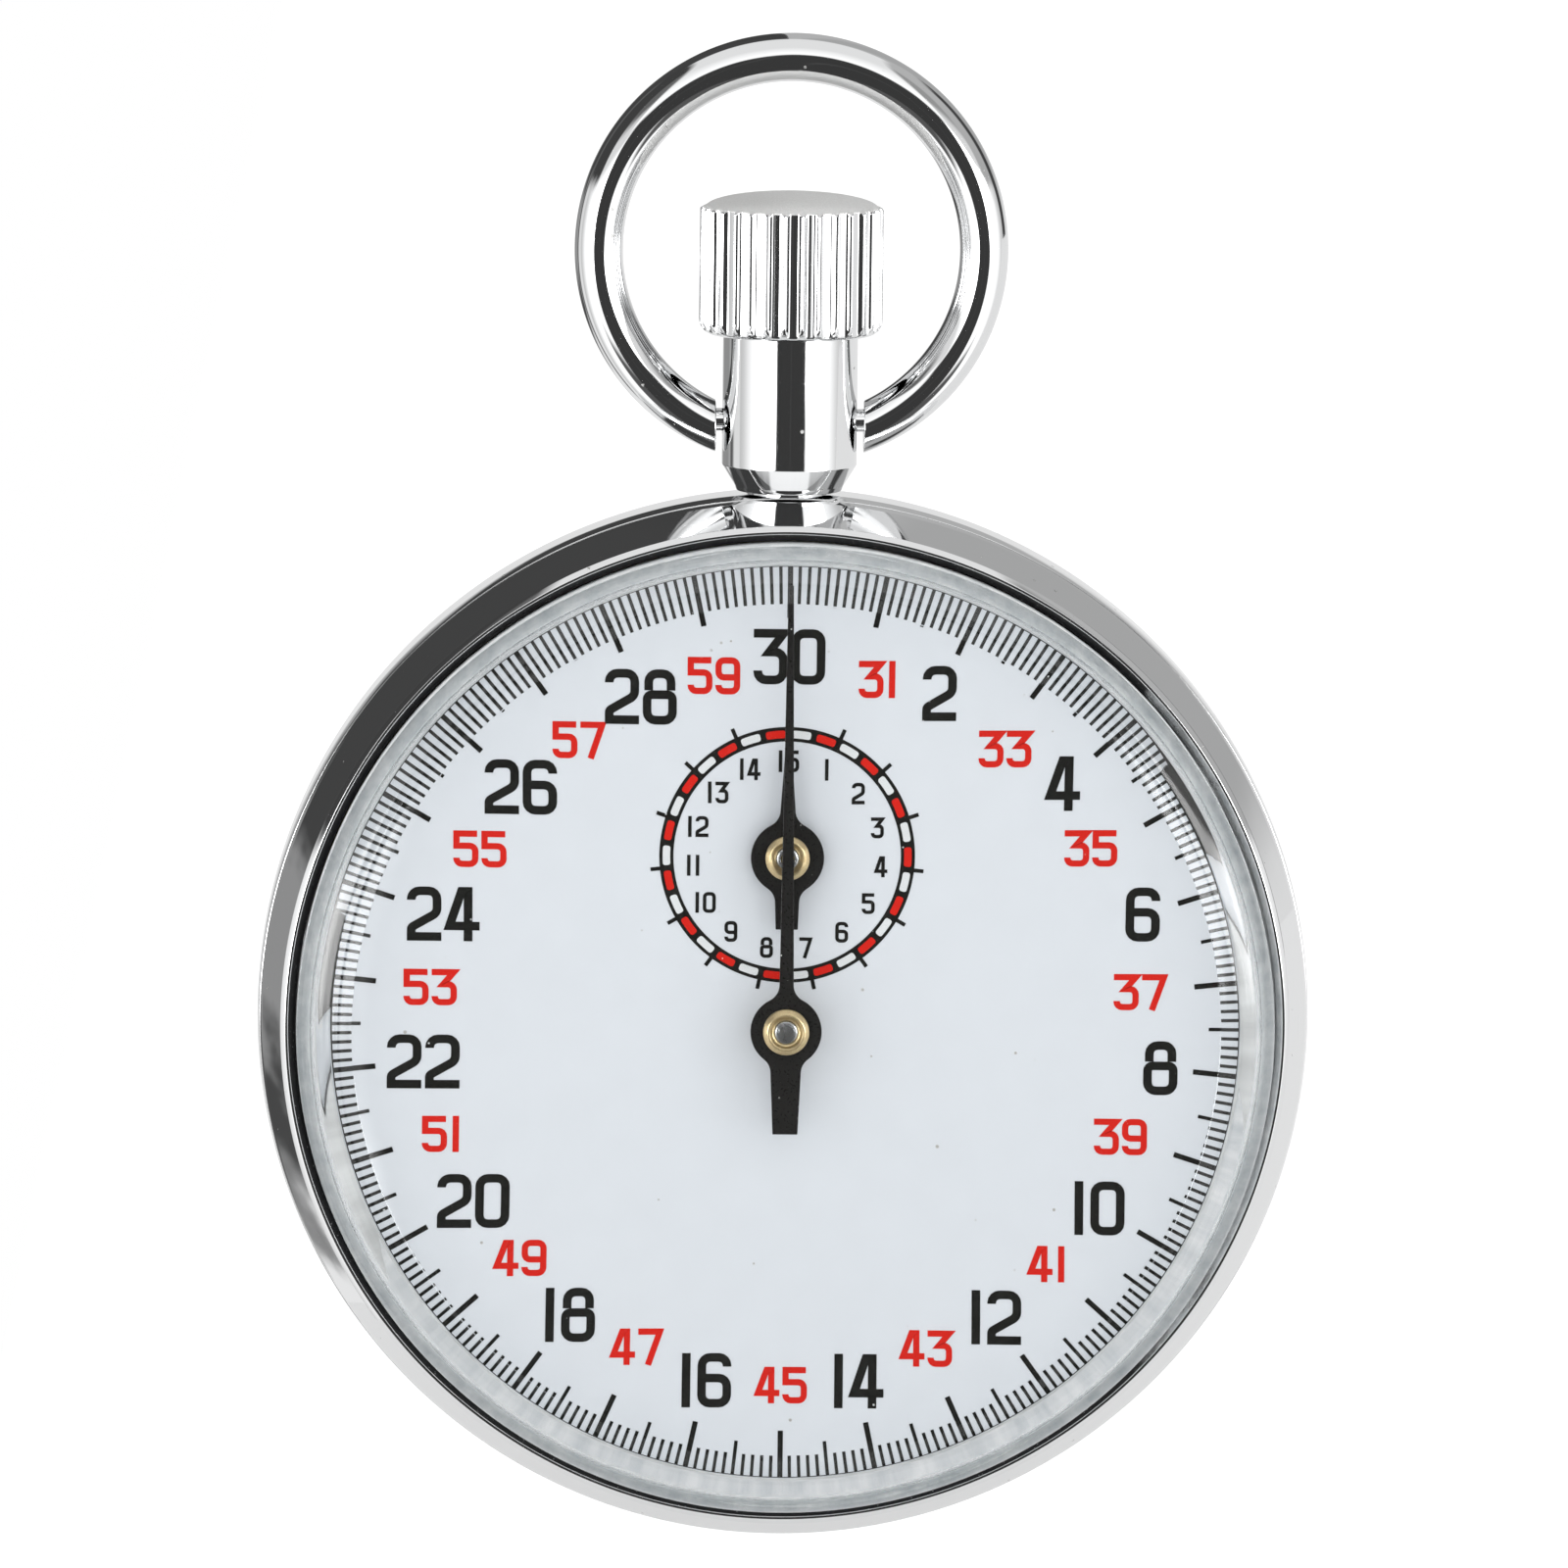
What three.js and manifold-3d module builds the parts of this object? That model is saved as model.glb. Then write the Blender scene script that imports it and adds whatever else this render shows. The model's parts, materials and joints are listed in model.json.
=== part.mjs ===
// A mechanical stopwatch: a 55 mm case, a crown that winds and works it, a bow to hang it by.
// Millimetres, +Z up through the crown, dial facing -Y. The origin is the centre of the case
// back's flat outer face, on the axis of the hands. A piece's "depth" is how far it stands in
// front of that face, so depth d is y = -d. Flat outlines are drawn in x and z as the dial side
// sees them, and angles turn anticlockwise there.
import * as THREE from "three";
import { mergeVertices } from "three/addons/utils/BufferGeometryUtils.js";
import Module from "manifold-3d";

const wasm = await Module();
wasm.setup();

// ---- Driving dimensions ----

const CASE = {
  radius: 27.5,
  edgeRadius: 27.35,
  boreRadius: 25.4,
  bandBack: 2.85,
  bandFront: 8,
  snapRadius: 26.3,
  snapFront: 9.3,
};
const SNAP_PLAY = 0.05; // between the bezel and the pieces it sits on
const BACK = {
  flatRadius: 23.5,
  curve: [[25.2, 0.45], [26.4, 1.35]],
  rimRadius: 27,
  rimDepth: 2.75,
  lipInner: 24.6,
  lipOuter: 25.3,
  lipDepth: 3.8,
  floorRadius: 22.8,
  floorDepth: 0.9,
  cornerDepth: 2.2,
};
const BEZEL = {
  flank: [[27.22, 8.5], [26.3, 10.85]],
  crestRadius: 26,
  crestWidth: 0.15,
  crestDepth: 11.1,
  mouthRadius: 25.45,
  mouthDepth: 10.4,
};
const CRYSTAL = {
  radius: 25.4,
  foot: 10.5,
  wall: 1,
  apex: 14.9,
  thickness: 1.1,
  inside: [[11, 13.62], [21.6, 13.1], [23.6, 12.4]],
  insideCorner: 11.3,
  outside: [[25.4, 12], [25, 13], [24, 13.8], [22.5, 14.2], [11, 14.75]],
};
const STEM_DEPTH = 5.5; // the crown, stem, neck and bow all lie in this plane
const NECK = {
  radius: 3.52,
  bottom: 25.5,
  spigot: 2.2,
  spigotTop: 27.55,
  cone: [[2.75, 27.6], [3.52, 28.9]],
  edge: 0.3,
  top: 37.4,
  chamber: 2.4,
  chamberFloor: 30,
  stemHole: 0.9,
};
const BOW = {
  centreZ: 40.1,
  radius: 10.02,
  wire: 1.265,
  wireSides: 8,
  ringSides: 36,
  pivotZ: 31.2,
  endX: 3.85,
  pinRadius: 0.6,
  pinEnd: 2.6,
  pinRoot: 0.9,
};
const CROWN = {
  radius: 4.87,
  valley: 4.55,
  ridges: 32,
  bottom: 35.7,
  footRadius: 4.1,
  footRise: 0.7,
  dome: [[4.87, 42.25], [4.35, 42.3], [2.6, 42.9]],
  top: 43.1,
  bore: 3.75,
  boreTop: 39.5,
  socket: 0.85,
  socketTop: 41.6,
};
const STEM = { radius: 0.75, bottom: 18.6, top: 41.5, flange: 1.25, flangeBottom: 22.8, flangeTop: 23.4 };
const COLLAR = { radius: 3.3, hole: 0.95, bottom: 38.85 };
const CROWN_SPRING = { radius: 1.6, wire: 0.22, turns: 7, play: 0.3 };
const PLATE = { radius: 23.05, back: 6.6, front: 8 };
const BRIDGE = { back: 3.2, front: 4.2, foot: 6.55, radius: 22.9 };
const WINDING = { back: 2.3, front: 2.9 }; // depth of the ratchet and crown wheels, behind the bridges
const DIAL = { radius: 24.25, back: 9.7, front: 10.1 };
const WORKS = { back: 8.15, front: 8.5 }; // depth of the levers between plate and dial
const RING = { outer: 25.25, inner: 23.15, back: 6.55, front: 9.65 };
const BOX = { radius: 7, inner: 6.6, edge: 4.95, floor: 6.1, front: 6.3, rimBack: 5.95 }; // the barrel
const LID = { back: 4.7, front: 4.9 };
const HEART = { low: 0.8, high: 1.5, bore: 0.55 };
const HOLE_PLAY = 0.1; // radial room round a fixed pin or screw
const PIVOT_PLAY = 0.08;
const ROUND = 40; // sides of the case's round parts
const SMALL = 12; // sides of arbors and their holes
const SCREW_SIDES = 8;

// Centres of the movement's axes, x and z, and its tooth counts and modules.
const SWEEP = [0, 0];
const MINUTE = [0, 8.95];
const IDLER = [2.638, 4.01];
const SECOND = [-5.23, 3.52];
const BARREL = [-8.6, 11.6];
const ESCAPE = [1.3, -6.02];
const PALLET = [3.3, -8.9];
const BALANCE = [5.6, -12.3];
const CROWN_WHEEL = [0, 16.6];
const COLUMN = [11.5, 7];
const LEVER = [8, 20.9];
const HAMMER = [6.2, 15];
const BRAKE = [15.6, -3.5];
const CLICK = [-16.6, 8.6];
const GEARS = {
  barrel: { teeth: 60, module: 0.25 },
  secondPinion: { teeth: 10, module: 0.25 },
  second: { teeth: 60, module: 0.18 },
  sweepPinion: { teeth: 10, module: 0.18 },
  sweep: { teeth: 70, module: 0.16 },
  escapePinion: { teeth: 7, module: 0.16 },
  drivePinion: { teeth: 8, module: 0.2 },
  idler: { teeth: 40, module: 0.2 },
  idlerPinion: { teeth: 8, module: 0.2 },
  minute: { teeth: 48, module: 0.2 },
  ratchet: { teeth: 40, module: 0.3109 },
  crownWheel: { teeth: 24, module: 0.3109 },
  windingPinion: { teeth: 12, module: 0.2 },
};

// ---- Materials ----

const finish = (colour, roughness, metalness, more = {}) =>
  new THREE.MeshStandardMaterial({ color: colour, roughness, metalness, ...more });
const chrome = () => finish(0xd9dbdc, 0.12, 1);
const satin = () => finish(0xb4b6b6, 0.35, 1);
const steel = () => finish(0xa9acb0, 0.3, 1);
const blued = () => finish(0x3a4250, 0.3, 1);
const brass = () => finish(0xc7a256, 0.32, 1);
const nickel = () => finish(0xc2bfb4, 0.38, 1);
const spring = () => finish(0x6d7076, 0.3, 1);
const black = () => finish(0x1a1a1a, 0.45, 0.1);

// ---- Solids ----

function solidOf(geometry) {
  const bare = geometry.clone();
  bare.deleteAttribute("normal");
  bare.deleteAttribute("uv");
  const merged = mergeVertices(bare, 1e-4);
  return new wasm.Manifold(
    new wasm.Mesh({
      numProp: 3,
      vertProperties: merged.attributes.position.array,
      triVerts: new Uint32Array(merged.index.array),
    }),
  );
}

function geometryOf(solid) {
  const mesh = solid.getMesh();
  return new THREE.BufferGeometry()
    .setAttribute("position", new THREE.BufferAttribute(mesh.vertProperties, 3))
    .setIndex(new THREE.BufferAttribute(mesh.triVerts, 1));
}

const join = (...pieces) => geometryOf(pieces.map(solidOf).reduce((a, b) => a.add(b)));
const cut = (piece, ...tools) =>
  geometryOf(tools.map(solidOf).reduce((a, b) => a.subtract(b), solidOf(piece)));
const common = (a, b) => geometryOf(solidOf(a).intersect(solidOf(b)));

function signedVolume(geometry) {
  const at = geometry.attributes.position;
  const corner = [new THREE.Vector3(), new THREE.Vector3(), new THREE.Vector3()];
  let volume = 0;
  for (let i = 0; i < geometry.index.count; i += 3) {
    corner.forEach((c, k) => c.fromBufferAttribute(at, geometry.index.getX(i + k)));
    volume += corner[0].dot(corner[1].cross(corner[2])) / 6;
  }
  return volume;
}

// Spins a profile of [radius, height] about the Y axis, with its faces turned outwards.
function lathe(profile, sides) {
  const geometry = new THREE.LatheGeometry(profile.map(([r, h]) => new THREE.Vector2(r, h)), sides);
  if (signedVolume(geometry) < 0) {
    const index = geometry.index.array;
    for (let i = 0; i < index.length; i += 3) {
      [index[i + 1], index[i + 2]] = [index[i + 2], index[i + 1]];
    }
  }
  return geometry;
}

// Round pieces about the hands' direction, from [radius, depth], and about the stem, from [radius, z].
const turned = (profile, sides = ROUND) => lathe(profile.map(([r, d]) => [r, -d]), sides);
const closed = (profile) => [...profile, profile[0]];
const turnedUpright = (profile, sides = 20) => lathe(profile, sides).rotateX(Math.PI / 2);

// A flat piece from an outline of [x, z] points and holes, between two depths.
function plate(outline, back, front, holes = []) {
  const shape = new THREE.Shape(outline.map(([x, z]) => new THREE.Vector2(x, z)));
  shape.holes = holes.map((hole) => new THREE.Path(hole.map(([x, z]) => new THREE.Vector2(x, z))));
  return new THREE.ExtrudeGeometry(shape, { depth: front - back, bevelEnabled: false })
    .rotateX(Math.PI / 2)
    .translate(0, -back, 0);
}

const polar = (radius, angle, [x, z] = [0, 0]) => [
  x + radius * Math.cos(angle),
  z + radius * Math.sin(angle),
];
const arc = (radius, from, to, steps, centre) =>
  Array.from({ length: steps + 1 }, (_, i) => polar(radius, from + ((to - from) * i) / steps, centre));
const circle = (radius, centre = [0, 0], sides = SMALL) =>
  arc(radius, 0, 2 * Math.PI, sides, centre).slice(0, -1);
const rod = (radius, back, front, centre = [0, 0], sides = SMALL) =>
  plate(circle(radius, centre, sides), back, front);
const degrees = (angle) => (angle * Math.PI) / 180;

// The outline round two discs, [x, z, radius], and a flat lever or bridge made of a chain of them.
function linkOutline([ax, az, ar], [bx, bz, br], steps = 4) {
  const along = Math.atan2(bz - az, bx - ax);
  const lean = Math.acos((ar - br) / Math.hypot(bx - ax, bz - az));
  return [
    ...arc(ar, along + lean, along - lean + 2 * Math.PI, steps, [ax, az]),
    ...arc(br, along - lean, along + lean, steps, [bx, bz]),
  ];
}

function strap(discs, back, front) {
  const links = discs.slice(1).map((disc, i) => plate(linkOutline(discs[i], disc), back, front));
  return links.length > 1 ? join(...links) : links[0];
}

// ---- Gears ----

const pitchRadius = ({ teeth, module }) => (teeth * module) / 2;

// A wheel has pointed teeth, and a pinion has leaves with a flat top and flanks that lean in.
function wheelOutline(gear) {
  const tip = pitchRadius(gear) + 0.8 * gear.module;
  const root = pitchRadius(gear) - 1.15 * gear.module;
  const pitch = (2 * Math.PI) / gear.teeth;
  return Array.from({ length: gear.teeth }, (_, i) => [
    polar(tip, i * pitch),
    polar(root, (i + 0.5) * pitch),
  ]).flat();
}

function pinionOutline(gear) {
  const tip = pitchRadius(gear) + 0.7 * gear.module;
  const root = pitchRadius(gear) - 1.15 * gear.module;
  const pitch = (2 * Math.PI) / gear.teeth;
  const leaf = (i) => [
    polar(root, (i - 0.27) * pitch),
    polar(tip, (i - 0.08) * pitch),
    polar(tip, (i + 0.08) * pitch),
    polar(root, (i + 0.27) * pitch),
  ];
  return Array.from({ length: gear.teeth }, (_, i) => leaf(i)).flat();
}

// The windows that leave a wheel its spokes.
function windows(count, inner, outer, spoke, steps = 3) {
  const pitch = (2 * Math.PI) / count;
  return Array.from({ length: count }, (_, i) => {
    const from = i * pitch + spoke / outer;
    const to = (i + 1) * pitch - spoke / outer;
    const lean = spoke / inner - spoke / outer;
    return [...arc(outer, from, to, steps), ...arc(inner, to - lean, from + lean, steps)];
  });
}

// How far the driven gear is turned, so that its teeth stand between those of the gear beside it.
function meshed(turn, from, [ax, az], to, [bx, bz]) {
  const towards = Math.atan2(bz - az, bx - ax);
  return towards + Math.PI + Math.PI / to.teeth + ((towards - turn) * from.teeth) / to.teeth;
}

// A flat spiral strip, from its inner to its outer radius.
function spiral(inner, outer, turns, thickness, back, front, stepsPerTurn) {
  const steps = Math.round(turns * stepsPerTurn);
  const edge = (offset) =>
    Array.from({ length: steps + 1 }, (_, i) =>
      polar(inner + ((outer - inner) * i) / steps + offset, (2 * Math.PI * turns * i) / steps),
    );
  return plate([...edge(thickness / 2), ...edge(-thickness / 2).reverse()], back, front);
}

// A screw whose head lies towards the case back. The head's slot is cut across it.
function screwSolid(headRadius, shankRadius, headBack, headFront, end) {
  const body = turned(
    [
      [0, headBack],
      [headRadius - 0.12, headBack],
      [headRadius, headBack + 0.12],
      [headRadius, headFront],
      [shankRadius, headFront],
      [shankRadius, end],
      [0, end],
    ],
    SCREW_SIDES,
  );
  const slot = new THREE.BoxGeometry(3 * headRadius, 0.36, 0.24).translate(0, -headBack, 0);
  return cut(body, slot);
}

// ---- The assembly ----

const watch = new THREE.Group();

// Adds a mesh at [x, z], turned anticlockwise as seen from the dial side.
function add(name, geometry, material, [x, z] = [0, 0], turn = 0, parent = watch) {
  const mesh = new THREE.Mesh(geometry, material);
  mesh.name = name;
  mesh.position.set(x, 0, z);
  mesh.rotation.y = -turn;
  parent.add(mesh);
  return mesh;
}

function addCase() {
  const band = turned(
    closed([
      [CASE.boreRadius, CASE.bandBack],
      [CASE.edgeRadius - 0.3, CASE.bandBack],
      [CASE.edgeRadius, CASE.bandBack + 0.4],
      [CASE.radius, CASE.bandBack + 1.3],
      [CASE.radius, CASE.bandFront - 1.1],
      [CASE.edgeRadius, CASE.bandFront],
      [CASE.snapRadius, CASE.bandFront],
      [CASE.snapRadius, CASE.snapFront],
      [CASE.boreRadius, CASE.snapFront],
    ]),
  );
  const holeRadius = NECK.spigot + 0.15;
  const neckHole = new THREE.CylinderGeometry(holeRadius, holeRadius, 5, 24)
    .rotateX(Math.PI / 2)
    .translate(0, -STEM_DEPTH, CASE.radius - 1);
  add("case_middle", cut(band, neckHole), chrome());

  const back = turned([
    [0, 0],
    [BACK.flatRadius, 0],
    ...BACK.curve,
    [BACK.rimRadius, BACK.rimDepth],
    [BACK.lipOuter, BACK.rimDepth],
    [BACK.lipOuter, BACK.lipDepth],
    [BACK.lipInner, BACK.lipDepth],
    [BACK.lipInner, BACK.cornerDepth],
    [BACK.floorRadius, BACK.floorDepth],
    [0, BACK.floorDepth],
  ]);
  add("case_back", back, chrome());

  const bezel = turned(
    closed([
      [CASE.snapRadius + SNAP_PLAY, CASE.bandFront + SNAP_PLAY],
      [CASE.edgeRadius, CASE.bandFront + SNAP_PLAY],
      ...BEZEL.flank,
      [BEZEL.crestRadius, BEZEL.crestDepth],
      [BEZEL.crestRadius - BEZEL.crestWidth, BEZEL.crestDepth],
      [BEZEL.mouthRadius, BEZEL.mouthDepth],
      [BEZEL.mouthRadius, CASE.snapFront + SNAP_PLAY],
      [CASE.snapRadius + SNAP_PLAY, CASE.snapFront + SNAP_PLAY],
    ]),
  );
  add("bezel", bezel, chrome());

  const inner = CRYSTAL.radius - CRYSTAL.wall;
  const glass = turned([
    [0, CRYSTAL.apex - CRYSTAL.thickness],
    ...CRYSTAL.inside,
    [inner, CRYSTAL.insideCorner],
    [inner, CRYSTAL.foot],
    [CRYSTAL.radius, CRYSTAL.foot],
    ...CRYSTAL.outside,
    [0, CRYSTAL.apex],
  ]);
  const clear = finish(0xf4f8f8, 0.05, 0, { transparent: true, opacity: 0.25 });
  add("crystal", glass, clear);

  const ring = turned(
    closed([
      [DIAL.radius + 0.1, DIAL.back],
      [CRYSTAL.radius - SNAP_PLAY, DIAL.back],
      [CRYSTAL.radius - SNAP_PLAY, CRYSTAL.foot - SNAP_PLAY],
      [DIAL.radius + 0.25, CRYSTAL.foot - SNAP_PLAY],
    ]),
  );
  add("tension_ring", ring, chrome());
}

// The neck is a tube that holds the crown's spring. Its spigot goes into the case band.
function addNeck() {
  const tube = turnedUpright(
    closed([
      [NECK.stemHole, NECK.bottom],
      [NECK.spigot, NECK.bottom],
      [NECK.spigot, NECK.spigotTop],
      ...NECK.cone,
      [NECK.radius, NECK.top - NECK.edge],
      [NECK.radius - NECK.edge, NECK.top],
      [NECK.chamber, NECK.top],
      [NECK.chamber, NECK.chamberFloor],
      [NECK.stemHole, NECK.chamberFloor],
    ]),
  );
  const holeRadius = BOW.pinRadius + HOLE_PLAY;
  const pivotHole = new THREE.CylinderGeometry(holeRadius, holeRadius, 12, SMALL)
    .rotateZ(Math.PI / 2)
    .translate(0, 0, BOW.pivotZ);
  add("pendant_neck", cut(tube, pivotHole), chrome()).position.y = -STEM_DEPTH;
}

// A ring of round wire, open at the foot, with a pin at each end that turns in the neck.
function addBow() {
  const section = Array.from({ length: BOW.wireSides + 1 }, (_, i) => {
    const around = (2 * Math.PI * (i % BOW.wireSides)) / BOW.wireSides;
    return [BOW.radius + BOW.wire * Math.cos(around), BOW.wire * Math.sin(around)];
  });
  const ring = lathe(section, BOW.ringSides).translate(0, 0, BOW.centreZ);
  const opening = new THREE.BoxGeometry(2 * BOW.endX, 8, 8).translate(0, 0, BOW.pivotZ);
  const pin = (side) => {
    const length = BOW.endX + BOW.pinRoot - BOW.pinEnd;
    return new THREE.CylinderGeometry(BOW.pinRadius, BOW.pinRadius, length, SMALL)
      .rotateZ(Math.PI / 2)
      .translate(side * (BOW.pinEnd + length / 2), 0, BOW.pivotZ);
  };
  add("bow", join(cut(ring, opening), pin(-1), pin(1)), chrome()).position.y = -STEM_DEPTH;
}

// The crown slides over the neck and turns with the stem. A collar under it takes the spring's push.
function addCrown() {
  const stemwise = new THREE.Group();
  stemwise.position.y = -STEM_DEPTH;
  watch.add(stemwise);

  const ridge = Math.PI / CROWN.ridges;
  const grip = new THREE.Shape(
    Array.from({ length: 2 * CROWN.ridges }, (_, i) => {
      const [x, y] = polar(i % 2 ? CROWN.valley : CROWN.radius, i * ridge);
      return new THREE.Vector2(x, y);
    }),
  );
  const height = CROWN.top - CROWN.bottom;
  const fluted = new THREE.ExtrudeGeometry(grip, { depth: height, bevelEnabled: false });
  fluted.translate(0, 0, CROWN.bottom);
  const envelope = turnedUpright(
    [
      [0, CROWN.bottom],
      [CROWN.footRadius, CROWN.bottom],
      [CROWN.radius, CROWN.bottom + CROWN.footRise],
      ...CROWN.dome,
      [0, CROWN.top],
    ],
    CROWN.ridges,
  );
  const bore = turnedUpright([
    [0, CROWN.bottom - 1],
    [CROWN.bore, CROWN.bottom - 1],
    [CROWN.bore, CROWN.boreTop],
    [CROWN.socket, CROWN.boreTop],
    [CROWN.socket, CROWN.socketTop],
    [0, CROWN.socketTop],
  ]);
  add("crown", cut(common(fluted, envelope), bore), satin(), [0, 0], 0, stemwise);

  const stem = turnedUpright(
    [
      [0, STEM.bottom],
      [STEM.radius, STEM.bottom],
      [STEM.radius, STEM.flangeBottom],
      [STEM.flange, STEM.flangeBottom],
      [STEM.flange, STEM.flangeTop],
      [STEM.radius, STEM.flangeTop],
      [STEM.radius, STEM.top],
      [0, STEM.top],
    ],
    SMALL,
  );
  add("winding_stem", stem, steel(), [0, 0], 0, stemwise);

  const collar = turnedUpright(
    closed([
      [COLLAR.hole, COLLAR.bottom],
      [COLLAR.radius, COLLAR.bottom],
      [COLLAR.radius, CROWN.boreTop - 0.1],
      [COLLAR.hole, CROWN.boreTop - 0.1],
    ]),
  );
  add("thrust_collar", collar, steel(), [0, 0], 0, stemwise);
  const { radius, wire, turns, play } = CROWN_SPRING;
  const coil = coilSpring(radius, wire, NECK.chamberFloor + play, COLLAR.bottom - play, turns);
  add("crown_spring", coil, spring(), [0, 0], 0, stemwise);

  const pinion = GEARS.windingPinion;
  const toothed = new THREE.Shape(pinionOutline(pinion).map(([x, y]) => new THREE.Vector2(x, y)));
  const teeth = new THREE.ExtrudeGeometry(toothed, { depth: 0.6, bevelEnabled: false });
  teeth.translate(0, 0, STEM.bottom + 0.15);
  const sleeve = turnedUpright([[0, 19.3], [0.98, 19.3], [0.98, 20.6], [0, 20.6]], SMALL);
  const drilled = new THREE.CylinderGeometry(0.85, 0.85, 6, SMALL).rotateX(Math.PI / 2).translate(0, 0, 20);
  const halfTooth = Math.PI / pinion.teeth;
  const mesh = add("winding_pinion", cut(join(teeth, sleeve), drilled), steel(), [0, 0], 0, stemwise);
  mesh.rotation.z = Math.PI / 2 + halfTooth;
}

// A compression spring of round wire about the Z axis.
class Helix extends THREE.Curve {
  constructor(radius, low, high, turns) {
    super();
    Object.assign(this, { radius, low, high, turns });
  }
  getPoint(t, target = new THREE.Vector3()) {
    const angle = 2 * Math.PI * this.turns * t;
    const height = this.low + (this.high - this.low) * t;
    return target.set(this.radius * Math.cos(angle), this.radius * Math.sin(angle), height);
  }
}

function coilSpring(radius, wire, low, high, turns) {
  const section = new THREE.Shape(circle(wire, [0, 0], 4).map(([x, y]) => new THREE.Vector2(x, y)));
  const path = new Helix(radius, low, high, turns);
  return new THREE.ExtrudeGeometry(section, { steps: 8 * turns, extrudePath: path, bevelEnabled: false });
}

// ---- The movement's frame ----

const BRIDGE_FEET = {
  barrel: [[-19.6, 6], [-4.6, 20.6]],
  train: [[-17.5, -4.5], [9.6, 0.9]],
  cock: [[-0.5, -18.3]],
  pallet: [[-0.9, -10.6]],
};
const BARREL_PIN_FOOT = [5.2, 12.2]; // this foot only stands on the plate
const SCREW = { head: 1, shank: 0.45, end: 7.4 };
const PALLET_BRIDGE = { back: 5.45, front: 5.75, farFoot: [7, -6.2] };
const CASE_SCREWS = [[-22.6, 8.2], [22.6, -8.2]];
const DIAL_FEET = [[-14, -10], [13, -13]];
const LEVER_PIN = { at: [8.9, 9.6], end: [10.95, 9.95], radius: 0.4 };
const BRAKE_PIN = { at: [13.6, 5], end: [14.2, 5.15], radius: 0.4 };

function addPlate() {
  const disc = plate(circle(PLATE.radius, [0, 0], ROUND), PLATE.back, PLATE.front, [
    circle(0.62, SWEEP),
    ...[SECOND, ESCAPE, PALLET, BALANCE].map((at) => circle(0.3, at, 8)),
    circle(0.6 + PIVOT_PLAY, BARREL),
    circle(0.55 + HOLE_PLAY, CROWN_WHEEL),
    ...Object.values(BRIDGE_FEET).flat().map((at) => circle(SCREW.shank + HOLE_PLAY, at, 8)),
    ...DIAL_FEET.map((at) => circle(0.5 + HOLE_PLAY, at, 8)),
    linkOutline([...LEVER_PIN.at, 0.75], [...LEVER_PIN.end, 0.75]),
    linkOutline([...BRAKE_PIN.at, 0.75], [...BRAKE_PIN.end, 0.75]),
  ]);
  const stemSlot = new THREE.BoxGeometry(3.2, 1, 10).translate(0, -PLATE.back, 22);
  const studs = [
    rod(0.45, 4.9, PLATE.back + 0.1, LEVER),
    rod(0.45, 4.5, PLATE.back + 0.1, BRAKE),
    rod(0.5, PLATE.front - 0.1, 9.35, COLUMN),
    rod(0.45, PLATE.front - 0.1, 8.6, HAMMER),
    rod(0.25, PLATE.front - 0.1, 9.45, IDLER),
  ];
  add("main_plate", join(cut(disc, stemSlot), ...studs), nickel());

  const ringHole = circle(RING.inner, [0, 0], ROUND);
  const ring = plate(circle(RING.outer, [0, 0], ROUND), RING.back, RING.front, [ringHole]);
  const screwHoles = CASE_SCREWS.map((at) => rod(SCREW.shank + HOLE_PLAY, 6, 8.6, at, 8));
  add("movement_ring", cut(ring, stemSlot, ...screwHoles), brass());
  CASE_SCREWS.forEach((at, i) =>
    add(`case_screw_${i + 1}`, screwSolid(1, SCREW.shank, 5.9, 6.5, 8.3), blued(), at),
  );
}

const foot = (at, radius, back = BRIDGE.front) => rod(radius, back - 0.1, BRIDGE.foot, at);
const screwHole = (at) => rod(SCREW.shank + HOLE_PLAY, BRIDGE.back - 1, BRIDGE.foot + 1, at, 8);

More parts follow.
